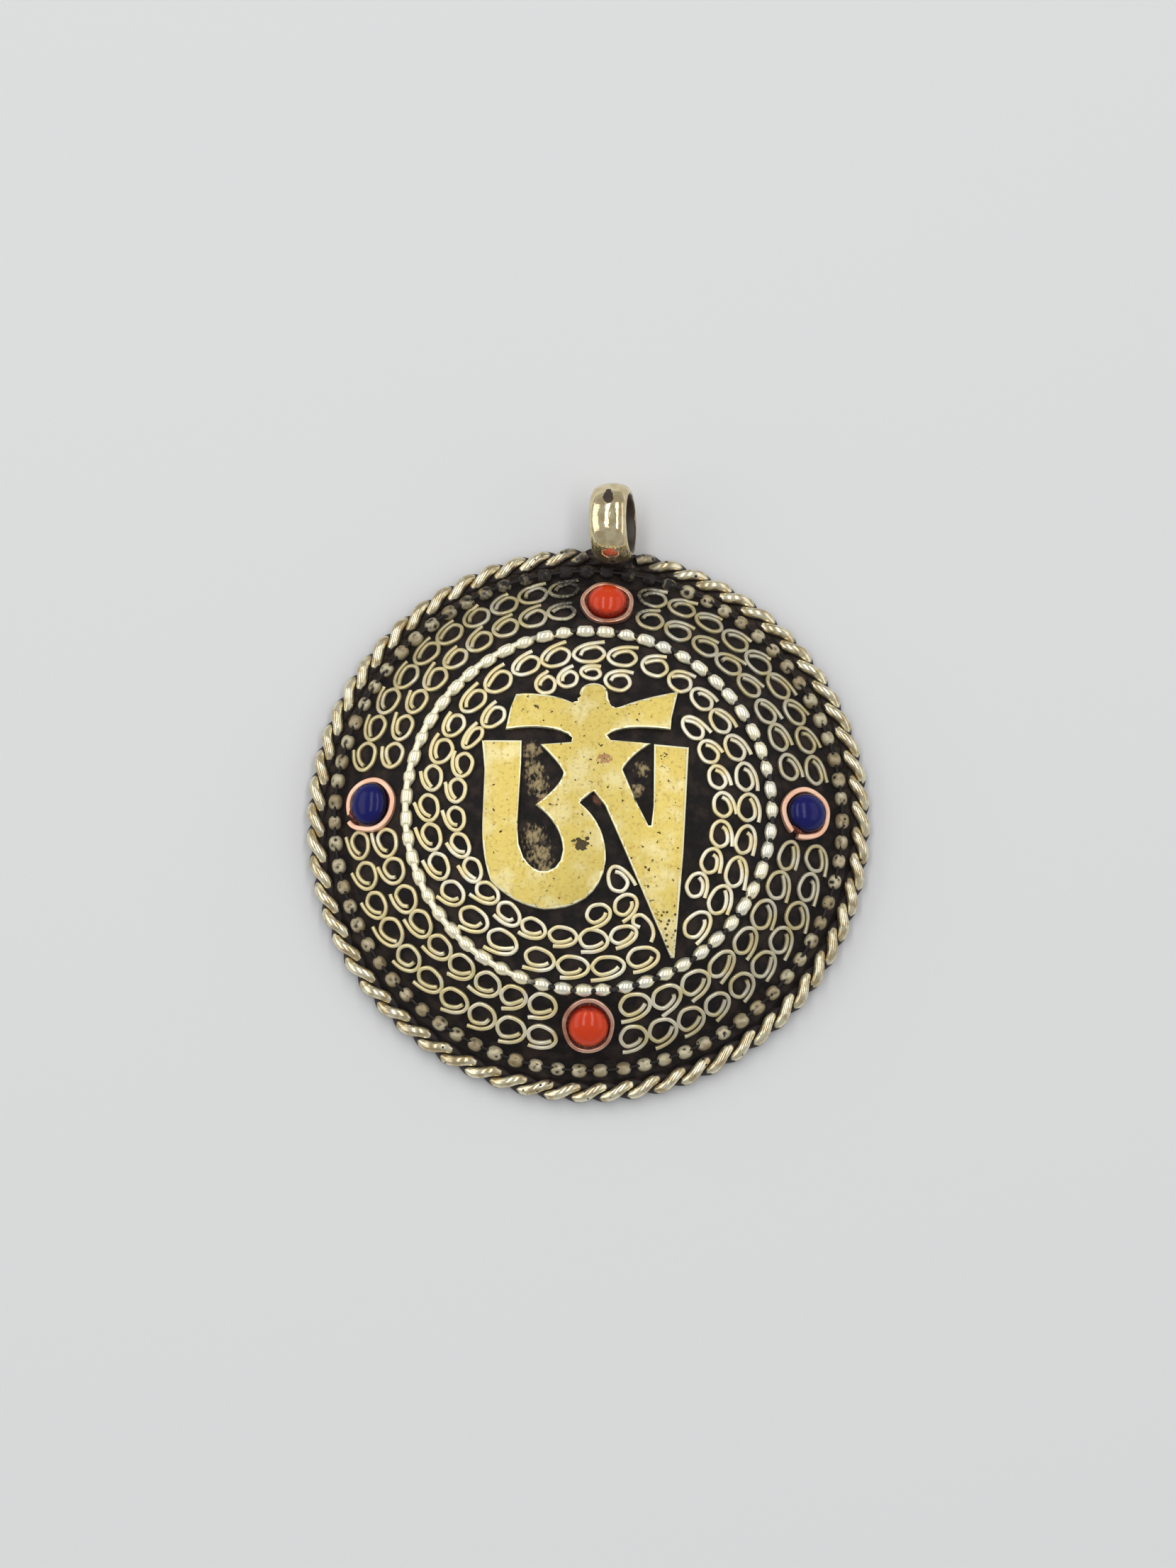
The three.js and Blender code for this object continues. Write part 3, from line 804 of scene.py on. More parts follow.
@dataclass(frozen=True)
class DomeSurface:
    """Front surface of the dome sheet: a flat flange, a steep band and a shallow crown."""

    flange_top: float = 1.65
    foot_radius: float = 25.9
    crown_radius: float = 18.9
    band_height: float = 5.0
    band_bulge: float = 0.25
    crown_height: float = 3.1

    def height(self, radius: float) -> float:
        """Works out the surface's height.

        Args:
            radius: Distance from the middle.

        Returns:
            The height over the back face.
        """
        if radius >= self.foot_radius:
            return self.flange_top
        if radius >= self.crown_radius:
            share = (self.foot_radius - radius) / (self.foot_radius - self.crown_radius)
            return self.flange_top + self.band_height * share + 4 * self.band_bulge * share * (1 - share)
        sphere = (self.crown_radius**2 + self.crown_height**2) / (2 * self.crown_height)
        drop = sphere - math.sqrt(sphere**2 - radius**2)
        return self.flange_top + self.band_height + self.crown_height - drop

    def slope(self, radius: float) -> float:
        """Returns how steeply the surface falls outwards, in radians."""
        inner = max(radius - 0.05, 0.0)
        return math.atan2(self.height(inner) - self.height(radius + 0.05), radius + 0.05 - inner)

    def point(self, angle: float, radius: float, lift: float = 0.0) -> Vector:
        """Finds a point on or off the surface.

        Args:
            angle: Clockwise angle in radians.
            radius: Distance of its foot from the middle.
            lift: Distance off the surface.

        Returns:
            The point.
        """
        slope = self.slope(radius)
        reach = radius + lift * math.sin(slope)
        return around(angle, reach, self.height(radius) + lift * math.cos(slope))

    def up(self, angle: float, radius: float) -> Vector:
        """Returns the direction straight off the surface."""
        slope = self.slope(radius)
        return around(angle, math.sin(slope), math.cos(slope))

    def stand(self, angle: float, radius: float) -> Matrix:
        """Builds a frame on the surface: X runs clockwise, Y down the slope and Z off it.

        Args:
            angle: Clockwise angle in radians.
            radius: Distance from the middle.

        Returns:
            The frame.
        """
        slope = self.slope(radius)
        turned = Matrix.Rotation(-angle, 4, "Z")
        return (
            turned
            @ Matrix.Translation((0, radius, self.height(radius)))
            @ Matrix.Rotation(-slope, 4, "X")
        )


DOME = DomeSurface()


@dataclass(frozen=True)
class HollowBody:
    """The dome sheet and the flat back sheet."""

    plate_radius: float = 27.6
    plate_thickness: float = 0.8
    flange_underside: float = 0.85
    sheet_thickness: float = 0.8
    sheet_inset: float = 0.35
    solder: float = 0.75
    edge: float = 0.12
    crown_steps: int = 24
    band_steps: int = 12
    steps: int = 192
    bare_spots: Sequence[Place] = (
        *((-6.1, 5.6, 1.6), (-5.9, 3.6, 1.7), (-5.3, 2.0, 1.9), (-4.7, 0.6, 1.3)),
        *((-5.6, -3.4, 2.0), (-4.9, -5.2, 2.3), (-4.3, -6.6, 1.4), (5.3, 3.9, 1.3), (4.9, 1.7, 1.2)),
    )
    reddish_spots: Sequence[Place] = ((1.0, 0.6, 1.2), (-4.9, 0.2, 0.8))

    def build(self) -> None:
        """Builds both sheets."""
        front = BlackenedSheet(bare_spots=self.bare_spots, reddish_spots=self.reddish_spots)
        self._dome(front.material())
        self._back(RubbedMetal("darkened_back", tarnish=tone(70, 60, 54), dents=0.05).material())

    def _dome(self, material: bpy.types.Material) -> None:
        """Spins the dome sheet, with a soft crease where the band meets crown and flange.

        Args:
            material: Its material.
        """
        piece = Workpiece()
        band = DOME.foot_radius - DOME.crown_radius
        radii = [DOME.crown_radius * i / self.crown_steps for i in range(self.crown_steps + 1)]
        radii += [DOME.crown_radius + band * i / self.band_steps for i in range(1, self.band_steps + 1)]
        front = [(radius, DOME.height(radius)) for radius in radii]
        inset = self.sheet_inset
        under = [(radius - inset, DOME.height(radius) - self.sheet_thickness) for radius in radii[1:-1]]
        rim = self.plate_radius
        profile = [
            *front,
            (rim - self.edge, DOME.flange_top),
            (rim, DOME.flange_top - self.edge),
            (rim + self.solder * 0.4, 1.3),
            (rim + self.solder, 1.05),
            (rim + self.solder, self.flange_underside),
            (DOME.foot_radius - inset, self.flange_underside),
            *reversed(under),
            (0.0, DOME.height(0.0) - self.sheet_thickness),
        ]
        piece.spin(profile, self.steps)
        piece.bend(lambda point: point + Vector((0, 0, 0.03 * lumps(point, 2.5))))
        piece.publish("dome_sheet", ["dome_plate"], material, 60)

    def _back(self, material: bpy.types.Material) -> None:
        """Spins the flat back, its edge filed round and its middle a little hollow.

        Args:
            material: Its material.
        """
        piece = Workpiece()
        rim = self.plate_radius
        profile = [(0.0, 0.03), (rim * 0.4, 0.03), (rim * 0.8, 0.02), (rim - 0.5, 0.0)]
        profile += [(rim - self.edge, 0.02), (rim, 0.14), (rim + self.solder, 0.6)]
        profile += [(rim + self.solder, self.plate_thickness), (0.0, self.plate_thickness)]
        piece.spin(profile, self.steps)
        piece.mark_wear_and_light(self._rubbed)
        piece.publish("back_sheet", ["back_plate"], material)

    def _rubbed(self, point: Vector) -> float:
        """Returns how worn a point of the back is, in patches and most along its edge."""
        edge = ease(math.hypot(point.x, point.y), 25, 27.5)
        return 0.42 + 0.25 * lumps(point, 9.0) + edge * 0.3


@dataclass(frozen=True)
class RopeRim:
    """Two strands of thick wire twisted together round the edge, open at the bail."""

    rope_radius: float = 28.715
    strand_radius: float = 0.57
    strand_offset: float = 0.54
    rope_height: float = 1.13
    turns: int = 32
    start: float = 8.3
    end: float = 357.6
    sides: int = 12
    steps_per_turn: int = 18
    rubbed_side: Place = (0.35, 0.94)
    rubbed_from_to: Place = (0.24, 0.52)
    # Painted shade near the bail, with some tarnish, darkens the strands there
    near_bail_dark_share: float = 0.7
    near_bail_dark_reach: Place = (26.0, 30.0)
    # Painted brown reflection on the strands towards the end away from the bail
    low_reflection_share: float = 0.32
    low_reflection_from_to: Place = (12.0, 27.0)

    def build(self) -> None:
        """Builds the two strands."""
        material = RubbedMetal(
            "rope_silver",
            bright=tone(236, 227, 196),
            warm=tone(196, 178, 140),
            tarnish=tone(46, 37, 34),
            metallic=0.86,
            grime=0.6,
            speckle=0.1,
            dents=0.012,
            patch=1.1,
            pitted=0.5,
            tarnish_low=0.2,
            tarnish_high=0.5,
            gloss=0.2,
        ).material()
        for number, phase in ((1, 0.0), (2, math.pi)):
            self._strand(f"rope_wire_{number}", f"rope_strand_{number}", phase, material)

    def _strand(self, name: str, node: str, phase: float, material: bpy.types.Material) -> None:
        """Sweeps one strand.

        Args:
            name: The object's name.
            node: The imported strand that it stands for.
            phase: Where its lay starts, in radians.
            material: Its material.
        """
        piece = Workpiece()
        start, end = math.radians(self.start), math.radians(self.end)
        steps = round(self.steps_per_turn * self.turns * (end - start) / (2 * math.pi))
        path, ups = [], []
        for step in range(steps + 1):
            angle = start + (end - start) * step / steps
            lay = phase - self.turns * angle
            reach = self.strand_offset * math.cos(lay)
            rise = self.strand_offset * math.sin(lay)
            path.append(around(angle, self.rope_radius + reach, self.rope_height + rise))
            ups.append(around(angle, math.cos(lay), math.sin(lay)))
        piece.sweep(stands_along(path, ups), round_section(self.strand_radius, self.sides))
        piece.mark_wear_and_light(self._wear_and_painted_light)
        piece.publish(name, [node], material)

    def _wear_and_painted_light(self, point: Vector) -> float:
        """Works out the wear of a strand from how proud it stands from the middle of the rope, with painted
        light and shade added.

        Args:
            point: A point of the strand.

        Returns:
            Its wear, less near the bail, where painted shade with some tarnish darkens it, and less towards
            the end away from the bail, where a brown reflection is painted.
        """
        out, up = self.rubbed_side
        whole = self.strand_offset + self.strand_radius
        across = math.hypot(point.x, point.y) - self.rope_radius
        proud = ease((across * out + (point.z - self.rope_height) * up) / whole, *self.rubbed_from_to)
        clean = 1 - self.near_bail_dark_share * near_bail_darkening(point, *self.near_bail_dark_reach)
        return proud * clean * (1 - self.low_reflection_share * ease(-point.y, *self.low_reflection_from_to))


class BeadForm(Enum):
    """How the beads of a ring are formed."""

    BALL = "half ball"
    BARREL = "flattened barrel"


@dataclass(frozen=True)
class BeadRing:
    """A ring of beads on a thin wire."""

    name: str
    node: str
    form: BeadForm
    radius: float
    drift: float
    count: int
    length: float
    width: float
    height: float
    wire_radius: float
    wire_worn: float
    wire_left_glare: float
    wire_swell: float
    finish: RubbedMetal
    seed: int
    ball_squareness: float = 2.4
    # Painted shade near the bail, with some tarnish, darkens the beads there
    near_bail_dark_share: float = 0.78
    near_bail_dark_reach: Place = (70.0, 28.0)

    def build(self) -> None:
        """Builds the wire and its beads."""
        piece = Workpiece()
        self._wire(piece)
        chance = random.Random(self.seed)
        for number in range(self.count):
            share = (number + 0.5 + chance.uniform(-0.06, 0.06)) / self.count
            stand = self._stand(360 * share)
            if self.form is BeadForm.BARREL:
                self._barrel(piece, stand, chance)
            else:
                self._ball(piece, stand, chance)
        piece.publish(self.name, [self.node], self.finish.material(), 70)

    def _stand(self, angle: float) -> Matrix:
        """Returns the frame of a place on the ring, at an angle in degrees."""
        angle, radius = drifted(angle, self.radius, self.drift)
        return DOME.stand(math.radians(angle), radius)

    def _wire(self, piece: Workpiece) -> None:
        """Sweeps the wire that runs through the beads.

        Args:
            piece: The ring's workpiece.
        """
        steps = self.count * 3
        stands = []
        for step in range(steps):
            stand = self._stand(360 * step / steps)
            thick = 1 + self.wire_swell * ease(-stand.translation.x, 3, 12)
            lift = Matrix.Translation((0, 0, self.height * 0.42))
            turn = Matrix.Rotation(math.pi / 2, 4, "Y") @ Matrix.Diagonal((thick, thick, 1, 1))
            stands.append(stand @ lift @ turn)
        piece.sweep(stands, round_section(self.wire_radius, 8), closed=True)
        # Painted glare from the left on the wire
        piece.mark_wear_and_light(lambda point: self.wire_worn + self.wire_left_glare * ease(-point.x, 4, 13))

    def _barrel(self, piece: Workpiece, stand: Matrix, chance: random.Random) -> None:
        """Sweeps one six-sided barrel with a flat top.

        Args:
            piece: The ring's workpiece.
            stand: The bead's frame.
            chance: Source of the small chances.
        """
        scale = chance.uniform(0.94, 1.0)
        taper = chance.uniform(0.76, 1.0)
        section = []
        for side in range(18):
            angle = math.radians(20 * side + 10)
            corner = (20 * side + 10) % 60 - 30
            reach = 0.95 / math.cos(math.radians(corner)) - 0.05 * (abs(corner) > 15)
            across, up = reach * math.sin(angle), reach * math.cos(angle)
            section.append((-up * self.height, across * self.width / 2, ease(up, 0.0, 0.5)))
        stands = []
        # Share of the half length and size of each station, from the end to the middle
        half = [(1, 0.3), (0.92, 0.62 * taper), (0.6, taper), (0.2, 1.03)]
        for along, size in [(-along, size) for along, size in half] + half[::-1]:
            place = (along * self.length / 2 * scale, chance.uniform(-0.03, 0.03), self.height * 0.02)
            turn = Matrix.Rotation(chance.uniform(-0.04, 0.04), 4, "Z") @ Matrix.Diagonal((size, size, 1, 1))
            stands.append(stand @ Matrix.Translation(place) @ Matrix.Rotation(math.pi / 2, 4, "Y") @ turn)
        piece.sweep(stands, section)

    def _ball(self, piece: Workpiece, stand: Matrix, chance: random.Random) -> None:
        """Shapes one low, dented half ball from a ball.

        Args:
            piece: The ring's workpiece.
            stand: The bead's frame.
            chance: Source of the small chances.
        """
        size = Vector((self.length / 2, self.width / 2, self.height)) * chance.uniform(0.88, 1.0)
        dents = [self._dent(chance) for _ in range(4)]
        power = self.ball_squareness
        for vertex in bmesh.ops.create_icosphere(piece.shape, subdivisions=3, radius=1.0)["verts"]:
            point = vertex.co.copy()
            sunk = 0.0
            for centre, reach, depth in dents:
                near = min((point - centre).length / reach, 1.0)
                sunk = max(sunk, depth * (1 - near * near))
            worn = ease(point.z, -0.35, 0.15) * (1 - 2.8 * sunk)
            # Painted shade near the bail, with some tarnish, darkens the beads there
            vertex[piece.wear_and_light] = worn * (1 - self.near_bail_dark_share * near_bail_darkening(stand.translation, *self.near_bail_dark_reach))
            squared = point / sum(abs(value) ** power for value in point) ** (1 / power)
            point = squared * (1 - sunk)
            vertex.co = stand @ Vector((point.x * size.x, point.y * size.y, point.z * size.z * 0.85))

    def _dent(self, chance: random.Random) -> tuple[Vector, float, float]:
        """Chooses one dent of a bead.

        Args:
            chance: Source of the small chances.

        Returns:
            Its middle on the ball, its reach and its depth.
        """
        side, off = chance.uniform(0, 2 * math.pi), chance.uniform(0.25, 1.1)
        centre = Vector((math.cos(side) * off, math.sin(side) * off, 1.0)).normalized()
        return centre, chance.uniform(0.3, 0.62), chance.uniform(0.1, 0.3)


# Wire curls


@dataclass(frozen=True)
class Curl:
    """One loop of wire: its place on the dome and the half sizes of its loop."""

    angle: float
    radius: float
    half_width: float
    half_height: float
    heading: float


@dataclass(frozen=True)
class CurlWork:
    """All rows of wire curls, each loop bent on its own and soldered to its neighbours."""

    wire_width: float = 0.42
    wire_height: float = 0.4
    sunk: float = 0.06
    widest: float = 1.66
    crowding: float = 1.01
    drift: float = 0.5
    loop: Sequence[Place] = (
        (-0.73, -0.06), (-0.36, 0.34), (0.1, 0.6), (0.57, 0.64), (0.93, 0.25), (1.0, -0.25),
        (0.65, -0.84), (0.1, -1.0), (-0.6, -0.82), (-1.0, -0.2), (-0.82, 0.48), (-0.22, 0.94),
        (0.42, 1.12), (1.02, 1.18),
    )
    stone_angles: Sequence[float] = (3.0, 88.7, 178.2, 270.6)
    quarters: Sequence[str] = ("upper_right", "lower_right", "lower_left", "upper_left")
    outer_counts: Sequence[int] = (9, 10, 10, 10)
    inner_counts: Sequence[int] = (8, 8, 9, 9)
    outer_radius: float = 24.24
    inner_radius: float = 21.31
    row_pitch: float = 2.925
    row_gap: float = 0.26
    bezel_keep: float = 3.13
    ring_radius: float = 16.575
    ring_height: float = 2.85
    ring_angles: Sequence[float] = (
        *(158.7, 171.4, 183.8, 195.9, 210.3, 223.7, 235.8, 246.7, 257.3, 268),
        *(279.3, 289.8, 300.2, 311.4, 322.9, 334.3, 345.9, 358, 370, 382.4),
        *(393.2, 403.4, 413.8, 424.9, 436, 447.5, 459.5, 471.7, 483.5, 495.4),
    )
    field_radius: float = 13.8
    field_height: float = 2.7
    top_row: Sequence[Place] = ((338.5,), (348.8,), (359, 14.25, 1.9), (370.5,))
    right_row: Sequence[Place] = ((50,), (62.5,), (74.5,), (87,), (99.5,), (112,), (124,))
    left_row: Sequence[Place] = (
        *((163,), (176,), (189,), (202,), (214.5,), (227,), (239,), (251,), (263,), (275,), (287,)),
        *((299.5, 14.15, 2.1), (311.5,)),
    )
    hook_row: Sequence[Place] = ((156.5, 8.1), (158, 11), (173, 11.4))
    hook: Sequence[Place] = (
        *((155.5, 13.5), (157.6, 12.95), (156.2, 12.35), (152.6, 12.45)),
        *((150.6, 13.5), (151.2, 14.6), (153.6, 15.3)),
    )
    # Painted shade near the bail, with some tarnish, darkens the upper rows
    near_bail_dark_share: float = 0.85
    near_bail_dark_reach: Place = (38.0, 24.0)
    near_bail_dark_from_to: Place = (15.0, 23.0)
    seed: int = 11

    def build(self) -> None:
        """Builds every row."""
        material = RubbedMetal(
            "wire_silver",
            bright=tone(242, 234, 208),
            warm=tone(232, 216, 164),
            left_light=0.16,
            outer_row_shade=0.32,
            metallic=0.55,
            gloss=0.34,
            tarnish_low=0.1,
            tarnish_high=0.5,
        ).material()
        chance = random.Random(self.seed)
        for i, quarter in enumerate(self.quarters):
            start = self.stone_angles[i]
            end = (self.stone_angles[(i + 1) % 4] - start) % 360 + start
            for row, radius, counts in (
                ("outer", self.outer_radius, self.outer_counts),
                ("inner", self.inner_radius, self.inner_counts),
            ):
                height = self.row_pitch / math.cos(DOME.slope(radius)) - self.row_gap
                places = self._between(start, end, radius, counts[i])
                self._row(f"{row}_curls_{quarter}", places, height, chance, material)
        ring = [(angle, self.ring_radius) for angle in self.ring_angles]
        self._row("field_curls_ring", ring, self.ring_height, chance, material)
        for name, row in (
            ("top", self.top_row),
            ("right", self.right_row),
            ("left", self.left_row),
            ("hook", self.hook_row),
        ):
            places = [(place[0], *(place[1:] or (self.field_radius,))) for place in row]
            hook = self.hook if name == "hook" else ()
            self._row(f"field_curls_{name}", places, self.field_height, chance, material, hook)

    def _between(self, start: float, end: float, radius: float, count: int) -> list[Place]:
        """Spreads curls evenly between two bezels.

        Args:
            start: Angle of the first stone, in degrees.
            end: Angle of the next stone.
            radius: Radius of the row.
            count: Number of curls.

        Returns:
            Angle and radius of each curl.
        """
        kept = math.degrees(self.bezel_keep / radius)
        pitch = (end - start - 2 * kept) / count
        return [drifted(start + kept + pitch * (i + 0.5), radius, self.drift) for i in range(count)]

    def _row(
        self,
        node: str,
        places: Sequence[Place],
        height: float,
        chance: random.Random,
        material: bpy.types.Material,
        hook: Sequence[Place] = (),
    ) -> None:
        """Builds one row of loops as one piece, with an open hook where one is given.

        Args:
            node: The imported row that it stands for.
            places: Angle and radius of each loop, and its height where it has its own.
            height: Height of the other loops.
            chance: Source of the small chances.
            material: Its material.
            hook: Angle and radius of each point of the hook.
        """
        piece = Workpiece()
        for curl in self._curls(places, height):
            piece.add(self._loop(curl, chance))
        if hook:
            piece.add(self._wire([(math.radians(angle), radius) for angle, radius in hook]))
        # Painted shade near the bail, with some tarnish, darkens the upper rows
        for vertex in piece.shape.verts:
            near_bail_dark = near_bail_darkening(vertex.co, *self.near_bail_dark_reach) * ease(vertex.co.y, *self.near_bail_dark_from_to)
            vertex[piece.wear_and_light] *= 1 - self.near_bail_dark_share * near_bail_dark
        piece.publish(f"wire_{node}", [node], material, 60)

    def _curls(self, places: Sequence[Place], height: float) -> list[Curl]:
        """Sizes the loops of a row from the space between neighbours.

        Args:
            places: Angle and radius of each loop, and its height where it has its own.
            height: Height of the other loops.

        Returns:
            The sized loops.
        """
        ways = []
        for (angle, radius, *_), (next_angle, next_radius, *_) in zip(places, places[1:]):
            across = math.radians((next_angle - angle + 180) % 360 - 180) * radius
            out = (next_radius - radius) / math.cos(DOME.slope(radius))
            ways.append(Vector((across, out)))
        curls = []
        for i, (angle, radius, *own) in enumerate(places):
            near = ways[max(i - 1, 0) : i + 1]
            space = min(way.length for way in near)
            half_width = min((space - self.wire_width) / 2 * self.crowding, self.widest)
            half_height = ((own[0] if own else height) - self.wire_width) / 2
            way = ways[min(i, len(ways) - 1)]
            heading = math.atan2(way.y, way.x)
            curls.append(Curl(math.radians(angle), radius, half_width, half_height, heading))
        return curls

    def _loop(self, curl: Curl, chance: random.Random) -> Workpiece:
        """Bends one loop of wire onto the dome.

        Args:
            curl: Its place and size.
            chance: Source of the small chances.

        Returns:
            The bent wire.
        """
        turned = curl.heading + math.radians(chance.uniform(-13, 13))
        width = curl.half_width * chance.uniform(0.94, 1.04)
        height = curl.half_height * chance.uniform(0.88, 1.06)
        shift = Vector((chance.uniform(-0.08, 0.08), chance.uniform(-0.1, 0.1)))
        points = [Vector((x, y)) for x, y in self.loop]
        points[0] += Vector((chance.uniform(-0.12, 0.25), chance.uniform(-0.15, 0.1)))
        points[-1] += Vector((chance.uniform(-0.45, 0.08), chance.uniform(-0.06, 0.08)))
        places = []
        for point in points:
            across, out = point.x * width, point.y * height * 0.94
            across, out = (
                across * math.cos(turned) - out * math.sin(turned),
                across * math.sin(turned) + out * math.cos(turned),
            )
            radius = curl.radius + (out + shift.y) * math.cos(DOME.slope(curl.radius))
            places.append((curl.angle + (across + shift.x) / curl.radius, radius))
        return self._wire(places)

    def _wire(self, places: Sequence[Place]) -> Workpiece:
        """Lays one wire on the dome.

        Args:
            places: Angle in radians and radius of each point.

        Returns:
            The wire.
        """
        path, ups = [], []
        for place in smooth_path([Vector(place) for place in places], 3):
            path.append(DOME.point(place.x, place.y, self.wire_height / 2 - self.sunk))
            ups.append(DOME.up(place.x, place.y))
        wire = Workpiece()
        wire.sweep(stands_along(path, ups), rounded(self.wire_width, self.wire_height, 10, 0.5))
        return wire


# Stones


class StoneKind(Enum):
    """What a setting holds."""

    CORAL = "coral"
    LAPIS = "lapis"


@dataclass(frozen=True)
class Joint:
    """Open joint of a bezel: where it lies, how wide it gapes and how far its last end stands out."""

    angle: float
    gape: float = 7.0
    flare: float = 0.34


@dataclass(frozen=True)
class StoneSetting:
    """A stone on its cement, in a bezel of bent copper strip that leans less than the dome."""

    name: str
    kind: StoneKind
    angle: float
    row_radius: float
    stone_radius: float
    room: float
    joint: Joint | None = None
    oval: float = 0.0
    bezel_oval: float = 0.0
    lean: float = 26.0
    strip: float = 0.58
    rim: float = 0.85
    foot: float = 0.12
    cement_top: float = 0.45
    girdle: float = 0.12
    dome: float = 1.65
    bezel_steps: int = 72
    stone_steps: int = 18
    stone_turns: int = 56
    seed: float = 0.0

    def build(
        self, copper: bpy.types.Material, stone: bpy.types.Material, cement: bpy.types.Material
    ) -> None:
        """Builds the bezel, the cement and the stone.

        Args:
            copper: Material of the bezel.
            stone: Material of the stone.
            cement: Material of the bed.
        """
        middle = Matrix.Translation((0, self.row_radius, DOME.height(self.row_radius)))
        stand = rotation(-self.angle, "Z") @ middle @ rotation(-self.lean, "X")
        self._bezel(stand, copper)
        self._cement(stand, cement)
        self._stone(stand, stone)

    def _ground(self, out: float) -> float:
        """Returns the dome's height in the setting's own frame, at a distance out from its middle."""
        return -out * math.tan(DOME.slope(self.row_radius) - math.radians(self.lean))

    def _bezel(self, stand: Matrix, material: bpy.types.Material) -> None:
        """Bends the strip round the stone. At an open joint its last end stands out past the first.

        Args:
            stand: The setting's frame.
            material: Its material.
        """
        piece = Workpiece()
        steps = self.bezel_steps
        opening = math.radians(self.joint.gape) if self.joint else 0.0
        start = math.radians(self.joint.angle) + opening if self.joint else 0.0
        sweep = 2 * math.pi - 2 * opening
        middle_radius = self.stone_radius + self.room + self.strip / 2
        stands = []
        for step in range(steps + 1 if self.joint else steps):
            share = step / steps
            angle = start + sweep * share
            place = Vector((math.sin(angle), math.cos(angle), 0.0))
            oval = 1 + self.bezel_oval * math.cos(2 * angle)
            radius = middle_radius * (oval + 0.012 * math.cos(5 * angle + self.seed))
            radius += 0.06 * lumps(place, 0.7, self.seed)
            if self.joint:
                radius += self.joint.flare * ease(share, 0.88, 1.0)
            top = self.rim + 0.07 * lumps(place, 0.5, self.seed + 3)
            foot = self._ground(radius * place.y) - self.foot
            turned = Matrix.Rotation(-angle, 4, "Z")
            middle = Matrix.Translation((0, radius, (top + foot) / 2))
            facing = Matrix(((0, 0, 1, 0), (1, 0, 0, 0), (0, 1, 0, 0), (0, 0, 0, 1)))
            stands.append(stand @ turned @ middle @ facing @ Matrix.Diagonal((1, top - foot, 1, 1)))
        section = rounded(self.strip, 1.0, 20, 0.35)
        piece.sweep(stands, section, closed=self.joint is None)
        piece.publish(f"copper_{self.name}", [f"bezel_{self.name}"], material, 70)

    def _cement(self, stand: Matrix, material: bpy.types.Material) -> None:
        """Spins the cement bed, with a crumbled top that rises to the strip.

        Args:
            stand: The setting's frame.
            material: Its material.
        """
        piece = Workpiece()
        reach = self.stone_radius + self.room + 0.1
        rings = [reach * i / 10 for i in range(11)]
        low = self.stone_radius - 0.3
        profile = [(radius, self.cement_top + 0.18 * ease(radius, low, reach)) for radius in rings]
        piece.spin([*profile, (reach, -0.2), (0.0, -0.2)], 48)
        piece.bend(self._crumbled)
        piece.place(stand)
        piece.publish(f"bed_{self.name}", [f"cement_{self.name}"], material)

    def _crumbled(self, point: Vector) -> Vector:
        """Moves the cement's top for its crumbs, which stand high at an open joint.

        Args:
            point: A point of the bed.

        Returns:
            Where it comes to lie.
        """
        if point.z < 0.3:
            return point
        rise = 0.12 * lumps(point, 0.3, self.seed)
        if self.joint:
            crumb = around(math.radians(self.joint.angle), self.stone_radius + self.room / 2, point.z)
            rise += 0.5 * ease(1.1 - (point - crumb).length, 0.0, 0.9)
        return point + Vector((0, 0, rise))

    def _stone(self, stand: Matrix, material: bpy.types.Material) -> None:
        """Spins the high domed stone and makes its outline a little uneven.

        Args:
            stand: The setting's frame.
            material: Its material.
        """
        piece = Workpiece()
        foot = self.cement_top + 0.05
        profile = [(0.0, foot), (self.stone_radius * 0.96, foot)]
        for step in range(self.stone_steps + 1):
            angle = math.pi / 2 * step / self.stone_steps
            rise = foot + self.girdle + self.dome * math.sin(angle)
            profile.append((self.stone_radius * math.cos(angle) ** 0.95, rise))
        profile[-1] = (0.0, profile[-1][1])
        piece.spin(profile, self.stone_turns)
        piece.bend(self._worn_round)
        # Painted shade of the stone: the number falls towards its girdle
        piece.mark_wear_and_light(lambda point: ease((point.z - foot) / (self.girdle + self.dome), 0.1, 0.8))
        piece.place(stand)
        piece.publish(f"gem_{self.name}", [f"stone_{self.name}"], material, 50)

    def _worn_round(self, point: Vector) -> Vector:
        """Returns a point of the stone, moved for its oval outline and its slow unevenness."""
        shaped = Vector((point.x * (1 - self.oval), point.y * (1 + self.oval), point.z))
        return shaped * (1 + 0.012 * lumps(point, 1.6, self.seed))


# Om plate


